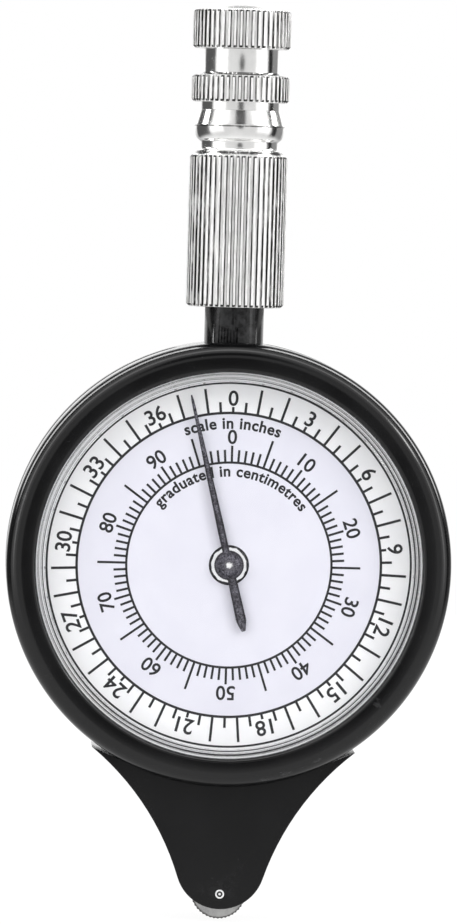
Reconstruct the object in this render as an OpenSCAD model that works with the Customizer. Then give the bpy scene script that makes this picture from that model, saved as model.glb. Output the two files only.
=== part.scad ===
// Opisometer, or map measurer: a tracing wheel drives a pointer over a round dial, held by a knurled grip.
// Frame: +Z runs up the grip, the dial faces -Y, and the origin is where the tracing wheel touches the map.

/* [Case] */
// Outside diameter of the round case
case_d = 52.5; // [50:0.5:60]
// Thickness from the bezel's crest to the back
case_t = 12.4; // [12:0.1:15]
// Side wall of the round case
case_wall = 1.4; // [1:0.1:2]
// Thickness of the back
back_t = 1.2; // [1:0.1:1.6]
// Rounding of the back's edge
back_round = 1.6; // [0.6:0.1:2]
// Fine chamfer on the edges of the seams
seam = 0.15; // [0.05:0.05:0.25]

/* [Nose] */
// Thickness of the nose, and of the case without bezel and back
nose_t = 7.8; // [7.4:0.1:8.2]
// Walls of the nose
nose_wall = 1; // [0.8:0.1:1.2]
// Radius of the round tip
tip_r = 5.3; // [5:0.1:6]
// Height of the tip's centre over the axle
tip_rise = 3.5; // [3:0.1:4]
// Radius of the hollow flanks
flare_r = 32; // [28:1:38]
// How far the flanks' centres lie below the axle
flare_drop = 7.9; // [7:0.1:9]
// Height of the ears' tips over the round case's lowest point
ledge_rise = 4.35; // [3.8:0.05:5.2]
// Height over the axle where the fork for the wheel ends
fork_rise = 0.9; // [0.5:0.1:1.5]

/* [Bezel and crystal] */
// Width of the bezel ring, from its lip to the outside
bezel_w = 3.25; // [2.9:0.05:3.6]
// Thickness of the bezel's lip
lip_t = 0.8; // [0.6:0.1:1]
// Rounding of the bezel's outer edge
bezel_round = 1.9; // [1:0.1:2]
// Rounding of the bezel's inner edge
bezel_inner_round = 0.5; // [0.2:0.1:0.7]
// Wall of the spigot that the bezel sits on
spigot_t = 0.9; // [0.7:0.1:1.1]
// How far the spigot stands out over the case's inside
spigot_step = 0.1; // [0:0.05:0.2]
// Height of the spigot
spigot_h = 1.3; // [1:0.1:1.4]
// Gap between the bezel's lip and the crystal's bevel
window_gap = 0.8; // [0.5:0.05:1.2]
// Width of the bevel around the window
window_bevel = 0.6; // [0.3:0.1:0.6]
// Height of the window over the crystal's flange
window_rise = 0.6; // [0.3:0.1:0.7]
// Thickness of the crystal's flange
flange_t = 0.6; // [0.4:0.1:0.8]
// Wall of the crystal's skirt
skirt_t = 0.8; // [0.6:0.1:1]

/* [Dial] */
// Thickness of the dial plate
dial_t = 0.35; // [0.2:0.05:0.5]
// Depth of the dial's seat under the front of the case
dial_sink = 1; // [0.9:0.05:1.1]
// Thickness of the shelf that the dial lies on
shelf_t = 0.7; // [0.5:0.1:0.8]
// Width of the shelf
shelf_w = 3.2; // [2.5:0.1:4]
// Outside diameter of the dial's eyelet
eyelet_d = 4.74; // [4:0.1:6]
// Thickness of the eyelet's flange
eyelet_t = 0.2; // [0.1:0.05:0.25]
// Wall of the eyelet's tube
eyelet_wall = 0.4; // [0.3:0.05:0.6]
// Gap between the eyelet and the arbor that passes through it
eyelet_gap = 0.25; // [0.15:0.05:0.35]

/* [Pointer] */
// Length of the needle from the centre
needle_l = 20.3; // [17:0.1:20.8]
// Width of the needle at the hub
needle_w = 0.74; // [0.5:0.02:1]
// Width of the needle at the tip
needle_tip_w = 0.26; // [0.15:0.01:0.4]
// Length of the tail
tail_l = 8; // [6:0.1:10]
// Width of the tail at the hub
tail_root_w = 0.96; // [0.6:0.02:1.2]
// Width of the tail before its point
tail_w = 1.14; // [0.8:0.02:1.5]
// Width of the tail's blunt end
tail_tip_w = 0.5; // [0.2:0.05:0.7]
// Length of the tail's point
tail_point = 1.5; // [1:0.1:3]
// Diameter of the pointer's disc
hub_d = 3.48; // [3:0.02:4]
// Thickness of the pointer
needle_t = 0.2; // [0.1:0.05:0.25]
// Gap from the dial to the pointer
needle_gap = 0.45; // [0.4:0.05:0.5]
// Diameter of the boss on the pointer
boss_d = 2.7; // [2.4:0.1:3.2]
// Height of the boss over the pointer
boss_h = 0.45; // [0.3:0.05:0.5]
// Angle of the pointer at rest, counted clockwise from the dial's zero
pointer_rest = -13.3; // [-90:0.1:90]

/* [Gear train] */
// Length on the map for one turn of the pointer
turn_length = 1000; // [900:5:1040]
// Teeth of the pinion on the tracing wheel
pinion_a = 12; // [12:1:13]
// Teeth of the idler
idler_teeth = 28; // [26:1:30]
// Teeth of the first arbor's wheel
gear_a = 36; // [34:1:37]
// Teeth of the first arbor's pinion
pinion_b = 8; // [8:1:9]
// Teeth of the second arbor's wheel
gear_b = 32; // [30:1:33]
// Teeth of the second arbor's pinion
pinion_c = 12; // [12:1:13]
// Teeth of the centre wheel
gear_c = 48; // [46:1:49]
// Module of the first pair and the idler
module_a = 0.25; // [0.24:0.01:0.26]
// Module of the second pair
module_b = 0.4; // [0.38:0.01:0.42]
// Module of the third pair
module_c = 0.6; // [0.58:0.01:0.62]
// Pressure angle of the teeth
pressure = 25; // [22:1:27]
// Height of a tooth over the pitch circle, in modules
addendum = 0.78; // [0.6:0.01:0.8]
// Depth of a tooth under the pitch circle, in modules
dedendum = 1; // [0.95:0.01:1.1]
// How much each flank is thinned for backlash, in modules
thinning = 0.12; // [0.1:0.01:0.16]
// Thickness of the gear wheels
gear_t = 0.8; // [0.6:0.05:0.9]
// Gap between one layer of the train and the next
layer_gap = 0.25; // [0.2:0.05:0.3]
// End play at bosses and shoulders
end_play = 0.12; // [0.08:0.01:0.15]
// Radial clearance of a shaft that turns
running = 0.04; // [0.02:0.01:0.06]
// Radial clearance of a pressed fit
press = 0.01; // [0.005:0.005:0.02]
// Diameter of the windows in the centre wheel
window_hole_d = 6; // [4:0.5:7]
// Number of windows in the centre wheel
window_holes = 5; // [3:1:6]

/* [Arbors and pins] */
// Diameter of the wheel's axle
axle_d = 1.12; // [1:0.02:1.3]
// Diameter of the dimples in the axle's ends
dimple_d = 0.5; // [0.3:0.05:0.6]
// Diameter of the idler's pin
idler_pin_d = 1.4; // [1.2:0.1:1.6]
// Diameter of the arbors' pivots
pivot_d = 0.9; // [0.7:0.05:1]
// Diameter of the two side arbors
arbor_d = 1.8; // [1.4:0.1:2]
// Diameter of the centre arbor
center_d = 2.2; // [1.9:0.1:2.4]
// Diameter of the centre arbor's front journal
journal_d = 1.6; // [1.4:0.1:1.7]
// Diameter of the centre arbor's seat for the pointer
seat_d = 1.2; // [1:0.05:1.3]
// Diameter of the shoulder under the centre wheel
shoulder_d = 4.4; // [3.6:0.1:5]
// Thickness of the shoulder under the centre wheel
shoulder_t = 0.6; // [0.4:0.1:0.8]
// Length of the pivots in their bosses
pivot_l = 1; // [0.8:0.1:1.1]
// Wall around the holes of bosses
boss_wall = 0.9; // [0.7:0.1:1]

/* [Tracing wheel] */
// Thickness of the tracing wheel
wheel_t = 1.9; // [1.6:0.1:2]
// Chamfer of the wheel's rim
wheel_chamfer = 0.3; // [0.2:0.05:0.4]
// Notches in the wheel's rim
notches = 44; // [36:1:52]
// Depth of the notches
notch_depth = 0.12; // [0.08:0.01:0.16]
// Clearance round the wheel in the fork
wheel_gap = 0.4; // [0.3:0.05:0.45]
// Clearance beside the wheel in the fork
fork_gap = 0.3; // [0.2:0.05:0.35]

/* [Movement plate] */
// Gap from the dial to the movement plate
plate_gap = 0.8; // [0.75:0.05:0.85]
// Thickness of the movement plate
plate_t = 0.6; // [0.5:0.05:0.7]
// Diameter of the plate's disc
plate_d = 38; // [37:0.5:39]
// Distance of the upper pillars from the centre
pillar_reach = 17.2; // [17:0.1:17.4]
// Angle of the upper pillars over the horizontal
pillar_angle = 40; // [30:1:50]
// Half the distance between the lower pillars
low_pillar_x = 7.6; // [7.2:0.1:8]
// Height of the lower pillars over the first arbor
low_pillar_rise = 2.3; // [2:0.1:2.6]
// Diameter of the pillars
pillar_d = 3; // [2.8:0.1:3.1]
// Width of the plate beyond the lower pillars
ear_r = 1.8; // [1.6:0.1:2]
// Gap between the plate's ears and the sides of the nose's room
plate_side_gap = 0.2; // [0.15:0.05:0.3]
// Half the width of the plate's lower end
tongue_half = 4; // [3.5:0.1:4.5]
// How far the plate reaches below the first arbor
tongue_drop = 2.4; // [1.8:0.1:2.8]
// Diameter of the bush
bush_d = 3.4; // [3:0.1:3.6]
// Diameter of the bush's flange
bush_flange_d = 4.8; // [4.4:0.1:5.2]
// Thickness of the bush's flange
bush_flange_t = 0.5; // [0.4:0.05:0.55]

/* [Screws] */
// Thread diameter of the plate's screws
plate_screw_d = 1.2; // [1:0.05:1.3]
// Head diameter of the plate's screws
plate_head_d = 2.4; // [2:0.1:2.6]
// Head height of the plate's screws
plate_head_h = 0.5; // [0.4:0.05:0.55]
// Length of the plate's screws under the head
plate_screw_l = 4; // [3:0.5:5]
// Distance of the case screws from the outside of the case
case_screw_inset = 4.25; // [4.1:0.05:4.5]
// Thread diameter of the case screws
case_screw_d = 1.5; // [1.3:0.05:1.6]
// Head diameter of the case screws
case_head_d = 3; // [2.6:0.1:3.1]
// Head height of the case screws
case_head_h = 0.8; // [0.7:0.05:0.9]
// How far the head lies under the back
head_sink = 0.25; // [0.2:0.05:0.4]
// Diameter of the screw bosses in the case
screw_boss_d = 4; // [3.8:0.1:4.2]
// Depth of the thread in the front half
case_screw_bite = 1.5; // [1.2:0.1:1.7]
// Width of the slots and crosses in the heads
slot_w = 0.4; // [0.3:0.05:0.5]
// Depth of the slots and crosses in the heads
slot_depth = 0.3; // [0.2:0.05:0.35]

/* [Stem and stud] */
// Diameter of the stem
stem_d = 7; // [6:0.1:7.1]
// Visible length of the stem
stem_l = 4.1; // [3:0.1:6]
// Half width of the stem's foot inside the case
foot_x = 4.2; // [4:0.1:4.6]
// Half depth of the stem's foot inside the case
foot_y = 2.6; // [2.3:0.1:2.7]
// Thickness of the stem's foot
foot_t = 1.2; // [1:0.1:1.4]
// How far the foot lies inside the case's wall
foot_gap = 0.6; // [0.4:0.1:0.7]
// Diameter of the stud
stud_d = 2.5; // [2:0.1:2.6]
// How far the stud reaches into the barrel
stud_reach = 11.5; // [8:0.5:13]
// How far the stud stands out of its nut
stud_end = 0.3; // [0.1:0.05:0.4]
// Width of the nut across flats
nut_af = 5; // [4.5:0.1:5.2]
// Thickness of the nut
nut_t = 1.6; // [1.4:0.1:1.8]

/* [Grip] */
// Diameter over the knurls
grip_d = 11.56; // [10.6:0.02:12]
// Number of flutes round the grip
flutes = 50; // [40:1:60]
// Depth of the flutes
flute_depth = 0.28; // [0.15:0.01:0.35]
// Share of the pitch that a flute takes
flute_share = 0.5; // [0.3:0.05:0.7]
// Chamfer at the ends of the knurls
knurl_chamfer = 0.35; // [0.2:0.05:0.4]
// Length of the barrel's knurl
barrel_l = 17.9; // [14:0.1:22]
// Length of the shoulder over the barrel's knurl
shoulder_l = 0.55; // [0.3:0.05:0.8]
// Diameter of the neck over the barrel
neck_d = 9.3; // [8.6:0.1:9.8]
// Length of the neck over the barrel
neck_l = 1.15; // [0.8:0.05:1.6]
// Diameter of the bead
bead_d = 10.7; // [10.2:0.1:11]
// Height of the bead's round lower part
bead_low = 1.7; // [1.2:0.1:2]
// Height of the bead's conical upper part
bead_cone = 1.9; // [1.5:0.1:2.5]
// Diameter of the groove over the bead
groove_d = 9.5; // [9:0.1:9.8]
// Length of the groove over the bead
groove_l = 0.9; // [0.5:0.1:1.3]
// Length of the collar's knurl
collar_l = 3.2; // [2.5:0.1:4]
// Diameter of the upper neck
upper_neck_d = 8.92; // [8:0.02:9.4]
// Length of the upper neck
upper_neck_l = 3.1; // [2:0.1:4]
// Length of the cap's knurl
cap_l = 4.6; // [3.5:0.1:6]
// Height of the dome on the cap
dome_h = 1; // [0.5:0.05:1.4]
// Diameter of the dome's foot
dome_d = 9.6; // [8.6:0.1:10]
// Diameter of the spigot that joins head and barrel
joint_d = 5; // [4:0.1:6]
// Length of the spigot that joins head and barrel
joint_l = 6; // [4:0.5:7]

/* [Hidden] */
$fn = 96;
degrees = 180 / PI;
eps = 0.01;
// How far a cut runs past the face that it opens
over = 1;
// Share of the nose's wall that is left between its room and the foot of a ledge
ledge_wall = 0.75;
tooth_up = 90;
tooth_down = -90;

// Heights of the axes, from the map up
train = gear_a / pinion_a * gear_b / pinion_b * gear_c / pinion_c;
wheel_r = turn_length / train / (2 * PI);
axle_z = wheel_r;
idler_z = axle_z + (pinion_a + idler_teeth) * module_a / 2;
first_z = idler_z + (idler_teeth + gear_a) * module_a / 2;
second_z = first_z + (pinion_b + gear_b) * module_b / 2;
dial_z = second_z + (pinion_c + gear_c) * module_c / 2;

// Places along Y, from the front to the back
case_r = case_d / 2;
inner_r = case_r - case_wall;
front_y = -case_t / 2;
back_y = case_t / 2;
floor_y = back_y - back_t;
nose_y = nose_t / 2;
nose_in_y = nose_y - nose_wall;
dial_back_y = dial_sink - nose_y;
dial_front_y = dial_back_y - dial_t;
shelf_y = dial_back_y + shelf_t;
plate_front_y = dial_back_y + plate_gap;
plate_back_y = plate_front_y + plate_t;
layer_c = plate_back_y + layer_gap;
layer_b = layer_c + gear_t + layer_gap;
layer_a = max(layer_b + gear_t, wheel_t / 2) + layer_gap;
pinion_over = layer_gap / 2;
layers_back = layer_a + gear_t;
pivot_y = layers_back + end_play;
wheel_y = wheel_t / 2;
lip_y = front_y + lip_t;
crystal_back_y = lip_y + flange_t;
needle_back_y = dial_front_y - needle_gap;
needle_front_y = needle_back_y - needle_t;
boss_front_y = needle_front_y - boss_h;

// Radii of the parts that nest inside each other
lip_r = case_r - bezel_w;
window_r = lip_r - window_gap - window_bevel;
spigot_r = inner_r + spigot_step;
recess_r = spigot_r + press;
crystal_r = spigot_r - spigot_t - press;
crystal_seat_r = crystal_r + press;
dial_r = crystal_r - press;
shelf_r = spigot_r - shelf_w;

// Places up the stem and grip
case_top = dial_z + case_r;
foot_top = dial_z + inner_r - foot_gap;
foot_bottom = foot_top - foot_t;
barrel_z = case_top + stem_l;
stud_bottom = foot_bottom - nut_t - stud_end;
stud_top = barrel_z + stud_reach;
neck_z = barrel_z + barrel_l + shoulder_l;
bead_z = neck_z + neck_l;
bead_top = bead_z + bead_low + bead_cone;
collar_z = bead_top + groove_l;
upper_neck_z = collar_z + collar_l;
cap_z = upper_neck_z + upper_neck_l;
cap_top = cap_z + cap_l;
joint_z = bead_top - joint_l;

// Outline of the nose: a round tip and two hollow flanks that touch it
tip_z = axle_z + tip_rise;
flare_z = axle_z - flare_drop;
flare_x = sqrt(pow(flare_r + tip_r, 2) - pow(tip_z - flare_z, 2));
touch_x = tip_r * flare_x / (flare_r + tip_r);
touch_z = tip_z - tip_r * (tip_z - flare_z) / (flare_r + tip_r);
ledge_z = dial_z - case_r + ledge_rise;
ledge_x = flare_x - sqrt(pow(flare_r, 2) - pow(ledge_z - flare_z, 2));
room_half = low_pillar_x + ear_r + plate_side_gap;
ledge_reach = norm([ledge_x, dial_z - ledge_z]);
ledge_foot_turn = max(atan2(ledge_x, dial_z - ledge_z) - acos(min(1, case_r / ledge_reach)),
    asin(min(1, (room_half + ledge_wall * nose_wall) / case_r)));
ledge_foot = [case_r * sin(ledge_foot_turn), dial_z - case_r * cos(ledge_foot_turn)];
ledge_slope = (ledge_z - ledge_foot[1]) / (ledge_x - ledge_foot[0]);
fork_z = axle_z + fork_rise;

// Places of the screws, from the dial's centre or the first arbor
upper_pillars = [for (side = [-1, 1])
    [side * pillar_reach * cos(pillar_angle), dial_z + pillar_reach * sin(pillar_angle)]];
lower_pillars = [for (side = [-1, 1]) [side * low_pillar_x, first_z + low_pillar_rise]];
pillars = concat(upper_pillars, lower_pillars);
case_screw_reach = case_r - case_screw_inset;
case_screw_spots = [for (turn = [45:90:315])
    [case_screw_reach * cos(turn), dial_z + case_screw_reach * sin(turn)]];

// ---- helpers ----

// Extrudes an outline, drawn as (x, z), from y0 back to y1
module slab(y0, y1) {
    translate([0, y1, 0]) rotate([90, 0, 0]) linear_extrude(y1 - y0) children();
}

// A round bar along Y at (x, z)
module rod(r, y0, y1, x = 0, z = 0) {
    translate([x, y1, z]) rotate([90, 0, 0]) cylinder(r = r, h = y1 - y0);
}

// Turns a profile, drawn as (radius, y), about the Y axis at height z
module turned(z) {
    translate([0, 0, z]) rotate([-90, 0, 0]) rotate_extrude() children();
}

// A profile rectangle from (r0, y0) to (r1, y1)
module band(r0, r1, y0, y1) {
    translate([r0, y0]) square([r1 - r0, y1 - y0]);
}

// ---- gear teeth ----

function involute(angle) = tan(angle) * degrees - angle;
function base_r(teeth, mod) = teeth * mod / 2 * cos(pressure);
function root_r(teeth, mod) = (teeth / 2 - dedendum) * mod;
function tip_radius(teeth, mod) = (teeth / 2 + addendum) * mod;

// Half the angle that a tooth fills at radius r
function tooth_half(teeth, mod, r) =
    90 / teeth + involute(pressure) - involute(acos(min(1, base_r(teeth, mod) / r)))
    - thinning * mod / r * degrees;

// Radii of the points along a flank
function flank(teeth, mod) =
    let (low = max(base_r(teeth, mod), root_r(teeth, mod)), high = tip_radius(teeth, mod), steps = 3)
    [for (i = [-1:steps]) i < 0 ? root_r(teeth, mod) : low + (high - low) * i / steps];

// The whole outline: up one flank and down the other, tooth after tooth
function gear_points(teeth, mod, start) =
    let (radii = flank(teeth, mod), last = len(radii) - 1)
    [for (k = [0:teeth - 1]) for (side = [-1, 1]) for (i = [0:last])
        let (r = side < 0 ? radii[i] : radii[last - i],
             half = tooth_half(teeth, mod, max(r, radii[1])),
             turn = start + k * 360 / teeth + side * half)
        [r * cos(turn), r * sin(turn)]];

// Angle of a first tooth that leaves a gap pointing down, for the driver's tooth that points up
function gap_down(teeth) = 180 / teeth - 90;

// A gear about Y at height z, with the middle of one tooth at the angle start
module gear(teeth, mod, y0, y1, z, bore_r, start) {
    difference() {
        translate([0, 0, z]) slab(y0, y1) polygon(gear_points(teeth, mod, start));
        rod(bore_r, y0 - over, y1 + over, 0, z);
    }
}

// ---- the case ----

// Outline of the nose. The tops of its ears are straight ledges that run out on the round case.
module nose_outline() {
    translate([0, tip_z]) circle(r = tip_r);
    difference() {
        polygon([[-touch_x, touch_z], [touch_x, touch_z], [ledge_x + over, touch_z],
            [ledge_x + over, ledge_z + over * ledge_slope], ledge_foot, [-ledge_foot[0], ledge_foot[1]],
            [-ledge_x - over, ledge_z + over * ledge_slope], [-ledge_x - over, touch_z]]);
        for (side = [-1, 1]) translate([side * flare_x, flare_z]) circle(r = flare_r);
    }
}

// Outline of the room in the nose, inside the given wall, open towards the round case
module nose_room(wall) {
    translate([0, tip_z]) circle(r = tip_r - wall);
    difference() {
        translate([-room_half, touch_z]) square([2 * room_half, dial_z - touch_z]);
        for (side = [-1, 1]) translate([side * flare_x, flare_z]) circle(r = flare_r + wall);
    }
}

// Space that the tracing wheel turns in, with the open fork under it
module wheel_room() {
    rod(wheel_r + wheel_gap, -wheel_y - fork_gap, wheel_y + fork_gap, 0, axle_z);
    rod(tip_radius(pinion_a, module_a) + wheel_gap, 0, pivot_y, 0, axle_z);
    translate([-case_r, -wheel_y - fork_gap, -wheel_r])
        cube([case_d, wheel_t + 2 * fork_gap, fork_z + wheel_r]);
}

// A hole for the stem, square to the rim
module stem_hole() {
    translate([0, 0, dial_z + inner_r - case_wall]) cylinder(d = stem_d + 2 * press, h = case_r);
}

// Rear half: back, side wall, rear wall of the nose, and everything that carries the train
module rear_case() {
    color([0.13, 0.13, 0.135]) difference() {
        union() {
            difference() {
                union() {
                    turned(dial_z) rear_profile();
                    slab(0, nose_y) nose_outline();
                }
                rod(inner_r, -over, floor_y, 0, dial_z);
                slab(-over, nose_in_y) nose_room(nose_wall);
            }
            intersection() {
                rear_space();
                rear_bosses();
            }
        }
        wheel_room();
        stem_hole();
        for (spot = pillars)
            rod(plate_screw_d / 2 + press, plate_back_y - over, plate_front_y + plate_screw_l + end_play,
                spot[0], spot[1]);
        for (spot = case_screw_spots) {
            rod(case_screw_d / 2 + running, -over, back_y + over, spot[0], spot[1]);
            rod(case_head_d / 2 + running, back_y - head_sink - case_head_h, back_y + over, spot[0], spot[1]);
        }
        rod(pivot_d / 2 + running, 0, rear_shoulder_y + pivot_l + end_play, 0, dial_z);
        rod(pivot_d / 2 + running, 0, pivot_y + pivot_l + end_play, 0, second_z);
        rod(pivot_d / 2 + running, 0, pivot_y + pivot_l + end_play, 0, first_z);
        rod(idler_pin_d / 2 + press, 0, pin_end_y, 0, idler_z);
        rod(axle_d / 2 + press, -over, nose_y + over, 0, axle_z);
    }
}
rear_shoulder_y = layer_c + gear_t + shoulder_t + end_play;
pin_end_y = nose_y - nose_wall / 2;

// Pillars for the plate and bosses for the pivots, long enough for the deeper of the two back walls
module rear_bosses() {
    for (spot = pillars) rod(pillar_d / 2, plate_back_y, back_y, spot[0], spot[1]);
    for (spot = case_screw_spots) rod(screw_boss_d / 2, 0, back_y, spot[0], spot[1]);
    rod(center_d / 2 + boss_wall, rear_shoulder_y, back_y, 0, dial_z);
    for (z = [first_z, second_z]) rod(arbor_d / 2 + boss_wall, pivot_y, back_y, 0, z);
    rod(idler_pin_d / 2 + boss_wall, pivot_y, back_y, 0, idler_z);
    rod(axle_d / 2 + boss_wall, pivot_y, back_y, 0, axle_z);
}

// The inside of both halves with a little of the back walls, where pillars and bosses end
module rear_space() {
    rod(inner_r + case_wall / 2, -nose_y, floor_y + eps, 0, dial_z);
    slab(-nose_y, nose_in_y + eps) nose_room(nose_wall / 2);
}

// Half section of the rear half: a drum with a rounded back edge
module rear_profile() {
    band(0, case_r - back_round, 0, back_y);
    band(0, case_r, seam, back_y - back_round);
    polygon([[0, 0], [case_r - seam, 0], [case_r, seam], [0, seam]]);
    translate([case_r - back_round, back_y - back_round]) circle(r = back_round);
}

// Front half: side wall, shelf for the dial, spigot for the bezel, front wall of the nose
module front_case() {
    color([0.13, 0.13, 0.135]) difference() {
        union() {
            difference() {
                union() {
                    turned(dial_z) front_profile();
                    slab(-nose_y, 0) nose_outline();
                }
                rod(spigot_r - spigot_t, -case_t, dial_back_y, 0, dial_z);
                rod(shelf_r, -case_t, over, 0, dial_z);
                rod(inner_r, shelf_y, over, 0, dial_z);
                slab(-nose_in_y, over) nose_room(nose_wall);
            }
            for (spot = case_screw_spots)
                rod(screw_boss_d / 2, dial_back_y, 0, spot[0], spot[1]);
            rod(idler_pin_d / 2 + boss_wall, -nose_in_y - eps, layer_a - end_play, 0, idler_z);
            rod(axle_d / 2 + boss_wall, -nose_in_y - eps, -wheel_y - end_play, 0, axle_z);
        }
        front_wheel_room();
        stem_hole();
        translate([-foot_x - running, dial_back_y - eps, dial_z])
            cube([2 * (foot_x + running), shelf_t + 2 * eps, inner_r]);
        for (spot = case_screw_spots)
            rod(case_screw_d / 2 + press, -case_screw_bite - end_play, over, spot[0], spot[1]);
        for (spot = pillars)
            rod(plate_head_d / 2 + end_play, plate_front_y - plate_head_h - end_play, 0, spot[0], spot[1]);
        rod(idler_pin_d / 2 + press, -pin_end_y, layer_a + over, 0, idler_z);
        rod(axle_d / 2 + press, -nose_y - over, over, 0, axle_z);
    }
}

// The wheel's space without the boss that guides its front face
module front_wheel_room() {
    difference() {
        wheel_room();
        rod(axle_d / 2 + boss_wall, -nose_in_y, -wheel_y - end_play, 0, axle_z);
    }
}

// Half section of the front half, with the spigot in front
module front_profile() {
    polygon([[0, -nose_y], [case_r - seam, -nose_y], [case_r, seam - nose_y], [case_r, -seam],
        [case_r - seam, 0], [0, 0]]);
    band(0, spigot_r, -nose_y - spigot_h, -nose_y);
}

// Bezel: a smooth convex ring that sits on the spigot and holds the crystal by its lip
module bezel_ring() {
    color([0.12, 0.12, 0.125]) turned(dial_z) difference() {
        union() {
            band(lip_r + bezel_inner_round, case_r - bezel_round, front_y, -nose_y);
            band(lip_r, case_r, front_y + bezel_round, -nose_y - seam);
            band(lip_r, case_r - bezel_round, front_y + bezel_inner_round, -nose_y);
            polygon([[lip_r, -nose_y - seam], [case_r, -nose_y - seam], [case_r - seam, -nose_y],
                [lip_r, -nose_y]]);
            intersection() {
                translate([case_r - bezel_round, front_y + bezel_round]) circle(r = bezel_round);
                band(0, case_r, front_y, -nose_y - seam);
            }
            translate([lip_r + bezel_inner_round, front_y + bezel_inner_round])
                circle(r = bezel_inner_round);
        }
        band(0, crystal_seat_r, lip_y, 0);
        band(0, recess_r, -nose_y - spigot_h - press, 0);
    }
}

// Crystal: a raised window with a bevelled edge, a flange under the bezel and a skirt down to the dial
module crystal() {
    color([0.85, 0.9, 0.95, 0.35]) turned(dial_z) union() {
        polygon([[0, crystal_back_y], [0, lip_y - window_rise], [window_r, lip_y - window_rise],
            [window_r + window_bevel, lip_y], [crystal_r, lip_y], [crystal_r, dial_front_y],
            [crystal_r - skirt_t, dial_front_y], [crystal_r - skirt_t, crystal_back_y]]);
    }
}

// ---- dial and pointer ----

module dial_plate() {
    color([0.93, 0.93, 0.97]) difference() {
        rod(dial_r, dial_front_y, dial_back_y, 0, dial_z);
        rod(eyelet_tube_r + press, dial_front_y - over, dial_back_y + over, 0, dial_z);
    }
}
eyelet_bore_r = journal_d / 2 + eyelet_gap;
eyelet_tube_r = eyelet_bore_r + eyelet_wall;

module dial_eyelet() {
    color([0.8, 0.8, 0.82]) turned(dial_z) {
        band(eyelet_bore_r, eyelet_d / 2, dial_front_y - eyelet_t, dial_front_y);
        band(eyelet_bore_r, eyelet_tube_r, dial_front_y - eyelet_t, dial_back_y);
    }
}

// Needle, disc and pointed tail in one thin sheet
module pointer() {
    color([0.16, 0.15, 0.18]) difference() {
        translate([0, 0, dial_z]) slab(needle_front_y, needle_back_y) rotate(-pointer_rest) {
            circle(d = hub_d);
            polygon([[-needle_w / 2, 0], [needle_w / 2, 0], [needle_tip_w / 2, needle_l],
                [-needle_tip_w / 2, needle_l]]);
            polygon([[-tail_root_w / 2, 0], [-tail_w / 2, tail_point - tail_l], [-tail_tip_w / 2, -tail_l],
                [tail_tip_w / 2, -tail_l], [tail_w / 2, tail_point - tail_l], [tail_root_w / 2, 0]]);
        }
        rod(seat_d / 2 + press, needle_front_y - over, needle_back_y + over, 0, dial_z);
    }
}

// Domed boss that grips the arbor in front of the needle
module pointer_boss() {
    color([0.16, 0.15, 0.18]) turned(dial_z) difference() {
        intersection() {
            band(0, boss_d / 2, boss_front_y, needle_front_y);
            translate([0, boss_front_y + boss_d]) circle(r = boss_d);
        }
        band(0, seat_d / 2 + press, boss_front_y - over, needle_front_y + over);
    }
}

// ---- gear train ----

module center_arbor() {
    color([0.75, 0.75, 0.77]) union() {
        rod(pivot_d / 2, rear_shoulder_y - end_play - eps, rear_shoulder_y + pivot_l, 0, dial_z);
        rod(shoulder_d / 2, layer_c + gear_t, rear_shoulder_y - end_play, 0, dial_z);
        rod(center_d / 2, plate_back_y + end_play, layer_c + gear_t + eps, 0, dial_z);
        rod(journal_d / 2, needle_back_y, plate_back_y + end_play + eps, 0, dial_z);
        rod(seat_d / 2, boss_front_y - press, needle_back_y + eps, 0, dial_z);
    }
}

module center_gear() {
    color([0.8, 0.65, 0.3]) difference() {
        gear(gear_c, module_c, layer_c, layer_c + gear_t, dial_z, center_d / 2 + press, gap_down(gear_c));
        for (k = [0:window_holes - 1])
            rod(window_hole_d / 2, layer_c - over, layer_b,
                window_ring_r * sin(k * 360 / window_holes),
                dial_z + window_ring_r * cos(k * 360 / window_holes));
    }
}
window_ring_r = (root_r(gear_c, module_c) + shoulder_d / 2) / 2;

// A side arbor: a rear pivot, a body, a front pivot through the plate
module side_arbor(z) {
    rod(pivot_d / 2, pivot_y - end_play - eps, pivot_y + pivot_l, 0, z);
    rod(arbor_d / 2, plate_back_y + end_play, pivot_y - end_play, 0, z);
    rod(pivot_d / 2, plate_front_y - end_play, plate_back_y + end_play + eps, 0, z);
}

// The pinion of an arbor, cut from the same bar
module leaf_pinion(teeth, mod, y0, y1, z) {
    translate([0, 0, z]) slab(y0, y1) polygon(gear_points(teeth, mod, tooth_up));
}

module second_arbor() {
    color([0.75, 0.75, 0.77]) union() {
        side_arbor(second_z);
        leaf_pinion(pinion_c, module_c, layer_c - pinion_over, layer_c + gear_t + pinion_over, second_z);
    }
}

module second_gear() {
    color([0.8, 0.65, 0.3])
        gear(gear_b, module_b, layer_b, layer_b + gear_t, second_z, arbor_d / 2 + press, gap_down(gear_b));
}

module first_arbor() {
    color([0.75, 0.75, 0.77]) union() {
        side_arbor(first_z);
        leaf_pinion(pinion_b, module_b, layer_b - pinion_over, layer_b + gear_t + pinion_over, first_z);
    }
}

// The idler has a tooth on top only if its count is odd, so the first wheel answers with a gap or a tooth
module first_gear() {
    start = idler_teeth % 2 == 1 ? gap_down(gear_a) : tooth_down;
    color([0.8, 0.65, 0.3])
        gear(gear_a, module_a, layer_a, layers_back, first_z, arbor_d / 2 + press, start);
}

module idler_gear() {
    color([0.8, 0.65, 0.3])
        gear(idler_teeth, module_a, layer_a, layers_back, idler_z, idler_pin_d / 2 + running,
            gap_down(idler_teeth));
}

module idler_pin() {
    color([0.75, 0.75, 0.77]) rod(idler_pin_d / 2, end_play - pin_end_y, pin_end_y - end_play, 0, idler_z);
}

// ---- tracing wheel ----

module wheel_pinion() {
    color([0.8, 0.65, 0.3])
        gear(pinion_a, module_a, wheel_y, layers_back, axle_z, axle_d / 2 + running, tooth_up);
}

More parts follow.
